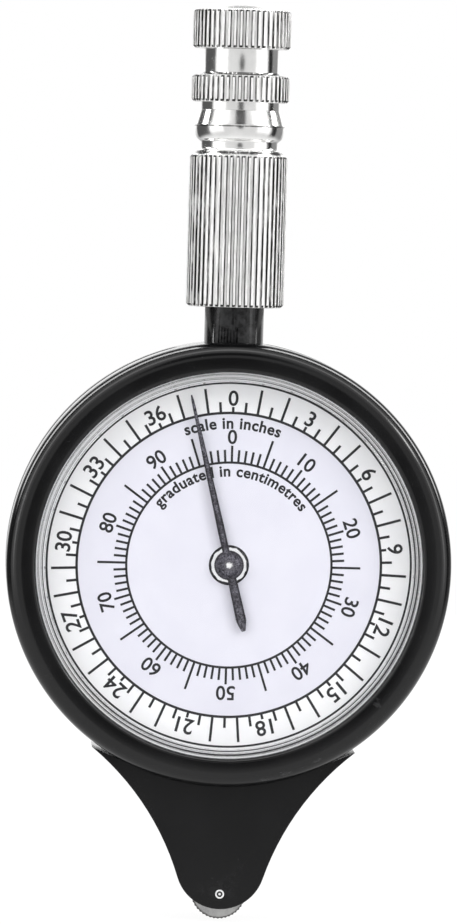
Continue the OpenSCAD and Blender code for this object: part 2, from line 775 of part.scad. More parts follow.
// A steel disc with chamfered, notched rim
module tracing_wheel() {
    color([0.7, 0.7, 0.72]) difference() {
        intersection() {
            translate([0, 0, axle_z]) slab(-wheel_y, wheel_y) polygon([for (k = [0:2 * notches - 1])
                let (r = wheel_r - (k % 2) * notch_depth, turn = k * 180 / notches - 90)
                [r * cos(turn), r * sin(turn)]]);
            turned(axle_z) polygon([[0, -wheel_y], [wheel_r - wheel_chamfer, -wheel_y],
                [wheel_r + eps, wheel_chamfer - wheel_y], [wheel_r + eps, wheel_y - wheel_chamfer],
                [wheel_r - wheel_chamfer, wheel_y], [0, wheel_y]]);
        }
        rod(axle_d / 2 + running, -nose_y, nose_y, 0, axle_z);
    }
}

module wheel_axle() {
    color([0.75, 0.75, 0.77]) difference() {
        rod(axle_d / 2, -nose_y, nose_y, 0, axle_z);
        for (y = [-nose_y, nose_y])
            rod(dimple_d / 2, y - dimple_d / 2, y + dimple_d / 2, 0, axle_z);
    }
}

// ---- movement plate ----

module plate_outline() {
    translate([0, dial_z]) circle(d = plate_d);
    for (spot = lower_pillars) translate(spot) circle(r = ear_r);
    polygon([[-low_pillar_x - ear_r, dial_z - plate_d / 4], [-low_pillar_x - ear_r, low_z],
        [-tongue_half, first_z - tongue_drop], [tongue_half, first_z - tongue_drop],
        [low_pillar_x + ear_r, low_z], [low_pillar_x + ear_r, dial_z - plate_d / 4]]);
}
low_z = first_z + low_pillar_rise;

module movement_plate() {
    color([0.8, 0.65, 0.3]) difference() {
        slab(plate_front_y, plate_back_y) plate_outline();
        rod(bush_d / 2 + press, -nose_y, 0, 0, dial_z);
        for (z = [first_z, second_z]) rod(pivot_d / 2 + running, -nose_y, 0, 0, z);
        for (spot = pillars) rod(plate_screw_d / 2 + running, -nose_y, 0, spot[0], spot[1]);
    }
}

module center_bush() {
    color([0.8, 0.65, 0.3]) turned(dial_z) {
        band(journal_d / 2 + running, bush_d / 2, plate_front_y - bush_flange_t, plate_back_y);
        band(journal_d / 2 + running, bush_flange_d / 2, plate_front_y - bush_flange_t, plate_front_y);
    }
}

// ---- screws ----

module plate_screws() {
    color([0.75, 0.75, 0.77]) for (spot = pillars) difference() {
        union() {
            rod(plate_head_d / 2, plate_front_y - plate_head_h, plate_front_y, spot[0], spot[1]);
            rod(plate_screw_d / 2, plate_front_y - eps, plate_front_y + plate_screw_l, spot[0], spot[1]);
        }
        translate([spot[0] - plate_head_d, plate_front_y - plate_head_h - over, spot[1] - slot_w / 2])
            cube([2 * plate_head_d, slot_depth + over, slot_w]);
    }
}

module case_screws() {
    head_y = back_y - head_sink;
    color([0.75, 0.75, 0.77]) for (spot = case_screw_spots) difference() {
        union() {
            rod(case_head_d / 2, head_y - case_head_h, head_y, spot[0], spot[1]);
            rod(case_screw_d / 2, -case_screw_bite, head_y - case_head_h + eps, spot[0], spot[1]);
        }
        for (turn = [0, 90]) translate([spot[0], head_y, spot[1]]) rotate([0, turn, 0])
            cube([case_head_d * cross_share, 2 * slot_depth, slot_w], center = true);
    }
}
cross_share = 0.65;

// ---- stem and grip ----

module stem() {
    color([0.13, 0.13, 0.135]) difference() {
        union() {
            translate([0, 0, foot_bottom + eps]) cylinder(d = stem_d, h = barrel_z - foot_bottom - eps);
            translate([-foot_x, -foot_y, foot_bottom]) cube([2 * foot_x, 2 * foot_y, foot_t]);
        }
        translate([0, 0, foot_bottom - over]) cylinder(d = stud_d + 2 * press, h = case_d);
        for (side = [-1, 1]) translate([-case_r, side * (foot_y + case_r) - case_r, foot_bottom - over])
            cube([case_d, case_d, over + foot_top + foot_gap / 2 - foot_bottom]);
    }
}

module handle_stud() {
    color([0.75, 0.75, 0.77]) translate([0, 0, stud_bottom]) cylinder(d = stud_d, h = stud_top - stud_bottom);
}

module stud_nut() {
    color([0.75, 0.75, 0.77]) difference() {
        translate([0, 0, foot_bottom - nut_t]) rotate(30)
            cylinder(d = nut_af / cos(30), h = nut_t, $fn = 6);
        translate([0, 0, stud_bottom]) cylinder(d = stud_d + 2 * press, h = case_d);
    }
}

// Straight knurl: a fluted bar from z0 to z1, chamfered at both ends
module knurl(z0, z1) {
    outer = grip_d / 2;
    inner = outer - flute_depth;
    step = 360 / flutes;
    land = step * (1 - flute_share) / 2;
    intersection() {
        translate([0, 0, z0]) linear_extrude(z1 - z0) polygon([for (k = [0:flutes - 1])
            for (p = [[-land, outer], [land, outer], [step / 2, inner]])
                [p[1] * cos(k * step + p[0]), p[1] * sin(k * step + p[0])]]);
        rotate_extrude() polygon([[0, z0], [outer - knurl_chamfer, z0], [outer + eps, z0 + knurl_chamfer],
            [outer + eps, z1 - knurl_chamfer], [outer - knurl_chamfer, z1], [0, z1]]);
    }
}

// Barrel of the grip, with the neck and the bead over its knurl
module grip_barrel() {
    color([0.85, 0.85, 0.87]) difference() {
        union() {
            knurl(barrel_z, barrel_z + barrel_l);
            rotate_extrude() polygon([[0, barrel_z + barrel_l - eps],
                [grip_d / 2 - knurl_chamfer, barrel_z + barrel_l - eps],
                [neck_d / 2, neck_z], [neck_d / 2, bead_z], [0, bead_z]]);
            rotate_extrude() bead_profile();
        }
        translate([0, 0, barrel_z - over]) cylinder(d = stud_d + 2 * press, h = stud_reach + over + end_play);
        translate([0, 0, joint_z - end_play]) cylinder(d = joint_d + 2 * press, h = case_d);
    }
}

// Half section of the bead: a round lower part under a cone
module bead_profile() {
    edge_z = bead_z + bead_low;
    arc_r = bead_low;
    polygon(concat([[0, bead_z]],
        [for (turn = [0:10:90]) [neck_d / 2 + (bead_d - neck_d) / 2 * sin(turn), edge_z - arc_r * cos(turn)]],
        [[groove_d / 2, bead_top], [0, bead_top]]));
}

// Head of the grip: groove, collar, upper neck and domed cap, on a spigot
module grip_head() {
    color([0.85, 0.85, 0.87]) union() {
        translate([0, 0, joint_z]) cylinder(d = joint_d, h = bead_top - joint_z + eps);
        translate([0, 0, bead_top]) cylinder(d = groove_d, h = groove_l + eps);
        knurl(collar_z, upper_neck_z);
        translate([0, 0, upper_neck_z - eps]) cylinder(d = upper_neck_d, h = upper_neck_l + 2 * eps);
        knurl(cap_z, cap_top);
        intersection() {
            translate([0, 0, cap_top - eps]) cylinder(d = dome_d, h = dome_h + eps);
            translate([0, 0, cap_top + dome_h - dome_r]) sphere(r = dome_r);
        }
    }
}
dome_r = (pow(dome_d / 2, 2) + pow(dome_h, 2)) / (2 * dome_h);

rear_case();
front_case();
bezel_ring();
crystal();
dial_plate();
dial_eyelet();
pointer();
pointer_boss();
center_arbor();
center_gear();
second_arbor();
second_gear();
first_arbor();
first_gear();
idler_gear();
idler_pin();
wheel_pinion();
tracing_wheel();
wheel_axle();
movement_plate();
center_bush();
plate_screws();
case_screws();
stem();
handle_stud();
stud_nut();
grip_barrel();
grip_head();
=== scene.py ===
"""Opisometer: the looks of a map measurer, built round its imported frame."""

import math

import bmesh
import bpy
from mathutils import Matrix, Vector


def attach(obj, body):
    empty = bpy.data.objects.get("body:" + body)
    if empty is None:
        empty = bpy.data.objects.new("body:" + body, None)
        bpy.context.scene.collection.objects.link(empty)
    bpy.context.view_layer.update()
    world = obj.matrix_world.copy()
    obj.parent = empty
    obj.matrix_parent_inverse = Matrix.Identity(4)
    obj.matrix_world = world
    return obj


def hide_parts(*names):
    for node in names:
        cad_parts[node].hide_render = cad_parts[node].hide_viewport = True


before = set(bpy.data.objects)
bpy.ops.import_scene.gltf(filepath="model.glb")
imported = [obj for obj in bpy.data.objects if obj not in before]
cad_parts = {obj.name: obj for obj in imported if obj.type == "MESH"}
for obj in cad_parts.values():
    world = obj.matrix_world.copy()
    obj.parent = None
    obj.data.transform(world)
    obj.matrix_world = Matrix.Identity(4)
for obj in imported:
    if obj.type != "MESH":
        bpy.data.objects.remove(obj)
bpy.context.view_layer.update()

# ---- sizes of the frame, in millimetres ----

MM = 0.001
AXLE_Z = 3.3157
DIAL_Z = 42.3157
CASE_R = 26.25
SEAM = 0.15
FRONT_Y = -6.2
NOSE_Y = 3.9
SCREW_FACE_Y = 5.95
LIP_Y = -5.4
WINDOW_FRONT_Y = -6.0
CRYSTAL_BACK_Y = -4.8
DIAL_FRONT_Y = -3.25
NEEDLE_BACK_Y = -3.7
NEEDLE_FRONT_Y = -3.9
BOSS_FRONT_Y = -4.35
LIP_R = 22.75
CRYSTAL_R = 24.04
WINDOW_R = 21.6
BARREL_Z = 72.666
BARREL_TOP_Z = 90.566
NECK_Z = 91.116
BEAD_Z = 92.266
BEAD_EDGE_Z = 93.966
BEAD_TOP_Z = 95.866
COLLAR_Z = 96.766
UPPER_NECK_Z = 99.966
CAP_Z = 103.066
CAP_TOP_Z = 107.666
GRIP_TOP_Z = 108.666
GRIP_R = 5.78
FLUTES = 50
FLUTE_DEPTH = 0.28
POINTER_REST = math.radians(-14.0)

# ---- mesh helpers ----

# vertices this close become one, shorter edges go, and HAIR is the slack in comparing heights
WELD = 0.0005
SLIVER = 0.0002
HAIR = 0.001


def new_object(name, data):
    """A new object in the scene."""
    thing = bpy.data.objects.new(name, data)
    bpy.context.scene.collection.objects.link(thing)
    return thing


def mesh_of(name, bm, material):
    """A mesh made of a bmesh, which is freed, with one material."""
    mesh = bpy.data.meshes.new(name)
    bm.to_mesh(mesh)
    bm.free()
    mesh.materials.append(material)
    return mesh


def finished(name, bm, material, body, replaced=(), sharp=30):
    """Makes a piece from a bmesh drawn in millimetres, and places it on its body."""
    bmesh.ops.remove_doubles(bm, verts=bm.verts, dist=WELD)
    bmesh.ops.dissolve_degenerate(bm, edges=bm.edges, dist=SLIVER)
    bmesh.ops.recalc_face_normals(bm, faces=bm.faces)
    bmesh.ops.scale(bm, vec=(MM, MM, MM), verts=bm.verts)
    mesh = mesh_of(name, bm, material)
    mesh.shade_smooth()
    mesh.set_sharp_from_angle(angle=math.radians(sharp))
    piece = new_object(name, mesh)
    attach(piece, body)
    if replaced:
        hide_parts(*replaced)
    return piece


def arc(centre_a, centre_b, radius, start, end, steps):
    """Points of an arc in a profile plane, from one angle to the other, in degrees."""
    points = []
    for i in range(steps + 1):
        turn = math.radians(start + (end - start) * i / steps)
        points.append((centre_a + radius * math.cos(turn), centre_b + radius * math.sin(turn)))
    return points


def spin_profile(bm, points, axis, centre, steps, closed=True):
    """Turns a line of (x, y, z) points about an axis, as on a lathe."""
    verts = [bm.verts.new(p) for p in points]
    edges = [bm.edges.new(pair) for pair in zip(verts, verts[1:])]
    if closed:
        edges.append(bm.edges.new((verts[-1], verts[0])))
    around = {"axis": axis, "cent": centre, "angle": math.tau, "steps": steps}
    bmesh.ops.spin(bm, geom=verts + edges, use_merge=True, **around)


def turned_on_dial(profile, steps=256, z=DIAL_Z, closed=True):
    """A bmesh turned about the Y axis at height z, from (radius, y) pairs."""
    bm = bmesh.new()
    points = [(r, y, z) for r, y in profile]
    spin_profile(bm, points, (0, 1, 0), (0, 0, z), steps, closed)
    return bm


def turned_on_grip(profile, steps):
    """A bmesh turned about the grip's own axis, from (radius, z) pairs."""
    bm = bmesh.new()
    points = [(r, 0, z) for r, z in profile]
    spin_profile(bm, points, (0, 0, 1), (0, 0, 0), steps, closed=False)
    return bm


# ---- node helpers ----


class Graph:
    """Adds nodes to a tree and joins their sockets."""

    def __init__(self, tree):
        self.tree = tree
        self.end = None

    def feed(self, sockets, inputs):
        """Joins each named input to a socket, or sets it to a plain value."""
        for key, value in inputs.items():
            if isinstance(value, bpy.types.NodeSocket):
                self.tree.links.new(value, sockets[key])
            else:
                sockets[key].default_value = value

    def add(self, kind, inputs=None, **settings):
        """A new node with its settings and its inputs."""
        node = self.tree.nodes.new(kind)
        for key, value in settings.items():
            setattr(node, key, value)
        self.feed(node.inputs, inputs or {})
        return node

    def place(self, group, inputs):
        """A node that holds one of the shared effects."""
        return self.add("ShaderNodeGroup", inputs, node_tree=group)

    def math(self, operation, first, second=None, third=None):
        """The result of one sum on up to three values."""
        given = enumerate((first, second, third))
        inputs = {i: value for i, value in given if value is not None}
        return self.add("ShaderNodeMath", inputs, operation=operation).outputs[0]

    def chain(self, operation, *values):
        """Several values joined one after another by the same operation."""
        total = values[0]
        for value in values[1:]:
            total = self.math(operation, total, value)
        return total

    def remap(self, value, low, high, to_low=0.0, to_high=1.0, smooth=True):
        """A value's range turned into another range, and held at its ends."""
        node = self.add(
            "ShaderNodeMapRange",
            {"Value": value, "From Min": low, "From Max": high, "To Min": to_low, "To Max": to_high},
            interpolation_type="SMOOTHSTEP" if smooth else "LINEAR",
        )
        return node.outputs[0]

    def band(self, value, rise, fall):
        """A mask that is 1 between a rise and a fall, each given as (start, end)."""
        return self.math("MULTIPLY", self.remap(value, *rise), self.remap(value, *fall, 1.0, 0.0))

    def near(self, value, place, full, gone):
        """A mask that is 1 up to one distance from a place, and 0 past another."""
        apart = self.math("ABSOLUTE", self.math("SUBTRACT", value, place))
        return self.remap(apart, full, gone, 1.0, 0.0)

    def shift(self, mask, first, second):
        """A number between two others."""
        node = self.add("ShaderNodeMix", {0: mask, 2: first, 3: second}, data_type="FLOAT")
        return node.outputs[0]

    def blend(self, mask, first, second):
        """A colour between two others."""
        node = self.add("ShaderNodeMix", {0: mask, 6: first, 7: second}, data_type="RGBA")
        return node.outputs[2]

    def mix(self, mask, first, second):
        """A shader node between two others."""
        return self.add("ShaderNodeMixShader", {0: mask, 1: first.outputs[0], 2: second.outputs[0]})

    def noise(self, vector, scale, detail=3.0, roughness=0.55):
        """Cloudy noise from 0 to 1."""
        node = self.add(
            "ShaderNodeTexNoise",
            {"Vector": vector, "Scale": scale, "Detail": detail, "Roughness": roughness},
        )
        return node.outputs[0]

    def millimetres(self, stretch=(1, 1, 1), centre_z=0.0):
        """Object coordinates in millimetres, from a height on the part's axis, stretched."""
        place = self.add("ShaderNodeTexCoord")
        node = self.add(
            "ShaderNodeMapping",
            {
                "Vector": place.outputs["Object"],
                "Location": (0, 0, -centre_z * stretch[2]),
                "Scale": [1 / MM * s for s in stretch],
            },
        )
        return node.outputs[0]

    def split(self, vector):
        """A vector's X, Y and Z outputs."""
        return self.add("ShaderNodeSeparateXYZ", {"Vector": vector}).outputs

    def distance(self, first, second):
        """How far a point is from an axis, from its two coordinates across it."""
        flat = self.math("MULTIPLY", first, first)
        return self.math("SQRT", self.math("MULTIPLY_ADD", second, second, flat))

    def radius_in_dial(self, vector):
        """Distance of a point from the axis along Y."""
        parts = self.split(vector)
        return self.distance(parts["X"], parts["Z"])

    def bump(self, height, distance):
        """A normal tilted by a height, with its depth in metres."""
        inputs = {"Height": height, "Distance": distance, "Strength": 1.0}
        return self.add("ShaderNodeBump", inputs).outputs[0]


def new_group(name, inputs, outputs):
    """A shader node group with named number or vector sockets."""
    tree = bpy.data.node_groups.new(name, "ShaderNodeTree")
    for label, value in inputs.items():
        kind = "NodeSocketVector" if value is None else "NodeSocketFloat"
        socket = tree.interface.new_socket(label, in_out="INPUT", socket_type=kind)
        if value is not None:
            socket.default_value = value
    for label in outputs:
        tree.interface.new_socket(label, in_out="OUTPUT", socket_type="NodeSocketFloat")
    graph = Graph(tree)
    start = graph.add("NodeGroupInput")
    end = graph.add("NodeGroupOutput")
    return tree, graph, start.outputs, end.inputs


def new_material(name):
    """An empty material, its node graph and its main shader."""
    material = bpy.data.materials.new(name)
    material.use_nodes = True
    material.node_tree.nodes.clear()
    graph = Graph(material.node_tree)
    shader = graph.add("ShaderNodeBsdfPrincipled")
    graph.end = graph.add("ShaderNodeOutputMaterial", {"Surface": shader.outputs[0]})
    return material, graph, shader


# ---- effects shared by materials ----


def make_grain_group():
    """Fine moulded or rolled grain: a height, and a slow cloud for uneven gloss."""
    tree, graph, start, end = new_group(
        "surface_grain", {"Vector": None, "Grain": 6.0, "Cloud": 0.12}, ["Height", "Cloud"]
    )
    fine = graph.noise(start["Vector"], start["Grain"], 4.0, 0.6)
    slow = graph.noise(start["Vector"], start["Cloud"], 3.0, 0.5)
    tree.links.new(fine, end["Height"])
    tree.links.new(graph.remap(slow, 0.3, 0.7), end["Cloud"])
    return tree


def make_hairline_group():
    """Fine hairlines left by wiping and pockets: three sets of stretched streaks."""
    tree, graph, start, end = new_group(
        "hairlines", {"Vector": None, "Density": 1.0, "Reach": 0.5}, ["Mask"]
    )
    total = None
    for turn, phase in ((0.4, 3.0), (1.5, 11.0), (2.6, 19.0)):
        mapped = graph.add(
            "ShaderNodeMapping",
            {
                "Vector": start["Vector"],
                "Location": (phase, phase, phase),
                "Rotation": (0.0, turn, 0.0),
                "Scale": (0.05, 1.0, 3.2),
            },
        )
        streak = graph.noise(mapped.outputs[0], start["Density"], 2.0, 0.5)
        line = graph.remap(streak, 0.66, 0.72)
        total = line if total is None else graph.math("MAXIMUM", total, line)
    patch = graph.remap(graph.noise(start["Vector"], 0.09, 2.0), start["Reach"], 0.8)
    tree.links.new(graph.math("MULTIPLY", total, patch), end["Mask"])
    return tree


def make_edge_group():
    """Edges worn by use: a mask that grows on convex edges, broken by noise."""
    tree, graph, start, end = new_group(
        "edge_wear", {"Vector": None, "Start": 0.53, "End": 0.6}, ["Mask"]
    )
    shape = graph.add("ShaderNodeNewGeometry")
    convex = graph.remap(shape.outputs["Pointiness"], start["Start"], start["End"])
    broken = graph.remap(graph.noise(start["Vector"], 1.4, 4.0), 0.35, 0.65)
    tree.links.new(graph.math("MULTIPLY", convex, broken), end["Mask"])
    return tree


def make_dust_group():
    """Sparse specks of dust."""
    tree, graph, start, end = new_group("dust", {"Vector": None, "Scale": 1.6, "Size": 0.1}, ["Mask"])
    cells = graph.add(
        "ShaderNodeTexVoronoi", {"Vector": start["Vector"], "Scale": start["Scale"], "Randomness": 1.0}
    )
    speck = graph.math("LESS_THAN", cells.outputs["Distance"], start["Size"])
    rare = graph.remap(graph.noise(start["Vector"], 0.7, 2.0), 0.56, 0.6)
    tree.links.new(graph.math("MULTIPLY", speck, rare), end["Mask"])
    return tree


GRAIN = make_grain_group()
HAIRLINES = make_hairline_group()
EDGES = make_edge_group()
DUST = make_dust_group()

# ---- materials ----

BLACK = (0.0035, 0.0035, 0.0038, 1)
FADED_BLACK = (0.0052, 0.0052, 0.0056, 1)
SCRATCHED_BLACK = (0.03, 0.03, 0.032, 1)
RUBBED_BLACK = (0.05, 0.05, 0.052, 1)
DUST_GREY = (0.15, 0.15, 0.15, 1)
TARNISHED_NICKEL = (0.84, 0.837, 0.83, 1)
BRIGHT_NICKEL = (0.93, 0.928, 0.92, 1)
DULL_NICKEL = (0.45, 0.445, 0.44, 1)
# painted shade for the nickel's flute walls and creases
NICKEL_SHADE = (0.012, 0.0115, 0.011, 1)
MAP_DIRT = (0.07, 0.068, 0.065, 1)
# painted shade for the groove in the axle's riveted end
GROOVE_SHADE = (0.03, 0.03, 0.03, 1)
SLOT_SHADE = (0.015, 0.015, 0.015, 1)
CARD_FLECK = (0.7, 0.7, 0.76, 1)
THIN_INK = (0.12, 0.12, 0.14, 1)
ARBOR_BLACK = (0.13, 0.125, 0.14, 1)
# bare steel and a painted highlight on the arbor's end
STEEL_END_AND_HIGHLIGHT = (0.95, 0.95, 0.94, 1)
# bare steel, partly a painted highlight, at the pointer's centre
BARE_STEEL_AND_HIGHLIGHT = (0.62, 0.61, 0.6, 1)
# black enamelling and painted shade for the eyelet's edge
ENAMEL_AND_SHADE = (0.008, 0.008, 0.01, 1)
# radii over which the card turns whiter and the eyelet's black edge (enamelled, with painted shade)
# starts, and the middle of the axle's hollow
DIAL_BAND_R = (17.7, 18.2)
ENAMEL_AND_SHADE_R = (2.24, 2.29)
HOLLOW_R = 0.26
# heights of the fillets above the two knurled lengths, where shade is painted
GRIP_FILLETS = (BARREL_TOP_Z + 0.28, UPPER_NECK_Z + 0.14)


def grain_on(graph, vector, fine, slow):
    """The slow cloud and the fine height of the surface grain, at two scales."""
    node = graph.place(GRAIN, {"Vector": vector, "Grain": fine, "Cloud": slow})
    return node.outputs["Cloud"], node.outputs["Height"]


def dress(graph, shader, grain, colour, gloss, depth, metallic=0.0):
    """Gives a shader its colour, a gloss that drifts between two values, and its grain."""
    cloud, height = grain
    graph.feed(
        shader.inputs,
        {
            "Base Color": colour,
            "Roughness": graph.remap(cloud, 0, 1, *gloss),
            "Metallic": metallic,
            "Normal": graph.bump(height, depth),
        },
    )


def make_black_plastic(name, gloss, depth, shine, marks=1.0, rim_gloss=None):
    """Black moulded plastic: uneven gloss, fine grain, hairlines, dust and worn edges."""
    material, graph, shader = new_material(name)
    vector = graph.millimetres(centre_z=DIAL_Z)
    cloud, height = grain_on(graph, vector, 5.0, 0.11)
    lines = graph.place(HAIRLINES, {"Vector": vector, "Density": 1.3, "Reach": 0.6}).outputs[0]
    dust = graph.place(DUST, {"Vector": vector, "Scale": 1.3, "Size": 0.06}).outputs[0]
    edges = graph.place(EDGES, {"Vector": vector, "Start": 0.535, "End": 0.62}).outputs[0]
    colour = graph.blend(cloud, BLACK, FADED_BLACK)
    colour = graph.blend(graph.math("MULTIPLY", lines, 0.12 * marks), colour, SCRATCHED_BLACK)
    colour = graph.blend(graph.math("MULTIPLY", edges, 0.5), colour, RUBBED_BLACK)
    colour = graph.blend(graph.math("MULTIPLY", dust, 0.3), colour, DUST_GREY)
    rough = graph.remap(cloud, 0.0, 1.0, *gloss, smooth=False)
    if rim_gloss:
        rough = polished_rim(graph, vector, rough, rim_gloss)
    graph.feed(
        shader.inputs,
        {
            "Base Color": colour,
            "Roughness": graph.math("MULTIPLY_ADD", lines, 0.06 * marks, rough),
            "Normal": graph.bump(height, depth),
            "IOR": 1.5,
            "Specular IOR Level": shine,
        },
    )
    return material


def polished_rim(graph, vector, rough, rim_gloss):
    """Makes the round outer wall glossier than the flat faces of the case and than the nose."""
    rim = graph.remap(graph.radius_in_dial(vector), CASE_R - 0.5, CASE_R - 0.1)
    above_nose = graph.remap(graph.split(vector)["Z"], -24.0, -22.0)
    return graph.shift(graph.math("MULTIPLY", rim, above_nose), rough, rim_gloss)


def flute_grime(graph, radius, in_knurl):
    """A mask of painted shade along both walls of each flute."""
    low = GRIP_R - FLUTE_DEPTH
    foot = graph.remap(radius, low + FLUTE_DEPTH * 0.02, low + FLUTE_DEPTH * 0.12)
    crest = graph.remap(radius, GRIP_R - FLUTE_DEPTH * 0.2, GRIP_R - FLUTE_DEPTH * 0.05, 1.0, 0.0)
    return graph.chain("MULTIPLY", foot, crest, in_knurl)


def crease_grime(graph, height):
    """A mask of painted shade in the bead's crease and in the fillets above the knurled lengths."""
    shade_mask = graph.math("MULTIPLY", graph.near(height, BEAD_EDGE_Z, 0.04, 0.12), 0.8)
    for place in GRIP_FILLETS:
        fillet = graph.math("MULTIPLY", graph.near(height, place, 0.08, 0.24), 0.9)
        shade_mask = graph.math("MAXIMUM", shade_mask, fillet)
    return shade_mask


def make_nickel():
    """Bright nickel plate, matt on the knurl, with painted shade along its flutes and in its creases."""
    material, graph, shader = new_material("nickel_plate")
    vector = graph.millimetres()
    parts = graph.split(vector)
    radius = graph.distance(parts["X"], parts["Y"])
    cloud, height = grain_on(graph, vector, 3.0, 0.35)
    streaks = graph.noise(graph.millimetres(stretch=(2.6, 2.6, 0.22)), 1.0, 4.0, 0.65)
    drawn = graph.noise(graph.millimetres(stretch=(9.0, 9.0, 0.5)), 1.0, 2.0, 0.5)
    in_knurl = graph.math("GREATER_THAN", radius, GRIP_R - FLUTE_DEPTH - 0.04)
    # painted shade in the flute walls and creases, broken up by the streaks
    darkening = graph.math("MAXIMUM", flute_grime(graph, radius, in_knurl), crease_grime(graph, parts["Z"]))
    darkening = graph.math("MULTIPLY", darkening, graph.remap(streaks, 0.36, 0.5, 0.25, 1.0))
    on_lands = graph.math("MULTIPLY", graph.remap(drawn, 0.52, 0.6), in_knurl)
    dull = graph.math("MULTIPLY_ADD", on_lands, 0.42, graph.math("MULTIPLY", streaks, 0.08))
    colour = graph.blend(cloud, TARNISHED_NICKEL, BRIGHT_NICKEL)
    colour = graph.blend(dull, colour, DULL_NICKEL)
    rough = graph.remap(cloud, 0.0, 1.0, 0.12, 0.2, smooth=False)
    height = graph.math("MULTIPLY_ADD", streaks, 0.6, height)
    graph.feed(
        shader.inputs,
        {
            "Base Color": graph.blend(darkening, colour, NICKEL_SHADE),
            "Roughness": graph.math("MULTIPLY_ADD", in_knurl, 0.38, rough),
            "Metallic": graph.math("MULTIPLY_ADD", in_knurl, -0.5, 1.0),
            "Normal": graph.bump(height, 0.000004),
        },
    )
    return material


def make_metal(name, light, dark, gloss, centre_z, scale=1.0, slot_y=None):
    """Turned or rolled metal: fine rings about a centre in the dial's plane, and tarnish."""
    material, graph, shader = new_material(name)
    vector = graph.millimetres(centre_z=centre_z)
    spread = graph.math("MULTIPLY", graph.radius_in_dial(vector), 9.0 * scale)
    rings = graph.noise(graph.add("ShaderNodeCombineXYZ", {"X": spread}).outputs[0], 1.0, 3.0)
    cloud, height = grain_on(graph, vector, 4.0 * scale, 0.3 * scale)
    lines = graph.place(HAIRLINES, {"Vector": vector, "Density": 2.0, "Reach": 0.4}).outputs[0]
    colour = graph.blend(cloud, light, dark)
    if slot_y:
        slot = graph.remap(graph.split(vector)["Y"], slot_y - 0.1, slot_y - 0.02, 1.0, 0.0)
        colour = graph.blend(slot, colour, SLOT_SHADE)
    rough = graph.remap(rings, 0.3, 0.7, gloss * 0.8, gloss * 1.3, smooth=False)
    height = graph.math("MULTIPLY_ADD", height, 0.5, rings)
    graph.feed(
        shader.inputs,
        {
            "Base Color": colour,
            "Roughness": graph.math("MULTIPLY_ADD", lines, 0.08, rough),
            "Metallic": 1.0,
            "Normal": graph.bump(height, 0.000002),
        },
    )
    return material


def make_wheel_steel():
    """The tracing wheel: grey steel, with grit from the map worked into its toothed rim."""
    material, graph, shader = new_material("wheel_steel")
    vector = graph.millimetres(centre_z=AXLE_Z)
    cloud, height = grain_on(graph, vector, 5.0, 0.8)
    rim = graph.math("MULTIPLY_ADD", height, 0.16, graph.radius_in_dial(vector))
    darkening = graph.remap(rim, AXLE_Z - 0.3, AXLE_Z - 0.04)
    face = graph.blend(cloud, (0.34, 0.34, 0.34, 1), (0.5, 0.5, 0.49, 1))
    colour = graph.blend(darkening, face, MAP_DIRT)
    dress(graph, shader, (cloud, height), colour, (0.26, 0.42), 0.000004, metallic=1.0)
    return material


def make_axle_steel():
    """The wheel's axle: bright, with painted shade in the hollow of its riveted end."""
    material, graph, shader = new_material("axle_steel")
    vector = graph.millimetres(centre_z=AXLE_Z)
    cloud, height = grain_on(graph, vector, 9.0, 2.0)
    # painted shade in the groove of the hollow
    hollow = graph.near(graph.radius_in_dial(vector), HOLLOW_R, 0.06, 0.12)
    bright = graph.blend(cloud, (0.8, 0.8, 0.81, 1), (0.95, 0.95, 0.95, 1))
    colour = graph.blend(hollow, bright, GROOVE_SHADE)
    dress(graph, shader, (cloud, height), colour, (0.3, 0.45), 0.000003, metallic=0.4)
    return material


def make_arbor_steel():
    """The pointer's arbor: dark, with an uneven bright spot on its end that is partly bare steel and
    partly a painted highlight.
    """
    material, graph, shader = new_material("arbor_steel")
    vector = graph.millimetres(centre_z=DIAL_Z)
    cloud, height = grain_on(graph, vector, 3.0, 1.2)
    uneven = graph.math("MULTIPLY_ADD", height, 0.6, graph.radius_in_dial(vector))
    # the bright spot: bare steel, with a painted highlight in its uneven shape
    bright_spot = graph.remap(uneven, 0.55, 0.72, 1.0, 0.0)
    colour = graph.blend(bright_spot, ARBOR_BLACK, STEEL_END_AND_HIGHLIGHT)
    dress(graph, shader, (cloud, height), colour, (0.35, 0.5), 0.00003, metallic=0.8)
    return material


def make_dial_card():
    """Printed card: a faint lavender field inside a whiter outer band."""
    material, graph, shader = new_material("dial_card")
    vector = graph.millimetres(centre_z=DIAL_Z)
    cloud, height = grain_on(graph, vector, 7.0, 0.2)
    band = graph.remap(graph.radius_in_dial(vector), *DIAL_BAND_R)
    field = graph.blend(cloud, (0.745, 0.74, 0.82, 1), (0.775, 0.77, 0.845, 1))
    outer = graph.blend(cloud, (0.93, 0.93, 0.945, 1), (0.965, 0.965, 0.97, 1))
    fleck = graph.math("MULTIPLY", graph.remap(height, 0.6, 0.8), 0.35)
    colour = graph.blend(fleck, graph.blend(band, field, outer), CARD_FLECK)
    dress(graph, shader, (cloud, height), colour, (0.45, 0.55), 0.000004)
    return material


def make_ink():
    """Printing ink, a little thinner in places."""
    material, graph, shader = new_material("dial_ink")
    cloud, height = grain_on(graph, graph.millimetres(), 9.0, 1.1)
    thin = graph.math("MULTIPLY", graph.remap(height, 0.62, 0.82), 0.5)
    full = graph.blend(cloud, (0.004, 0.004, 0.005, 1), (0.01, 0.01, 0.013, 1))
    rough = graph.remap(cloud, 0, 1, 0.4, 0.5)
    graph.feed(shader.inputs, {"Base Color": graph.blend(thin, full, THIN_INK), "Roughness": rough})
    return material


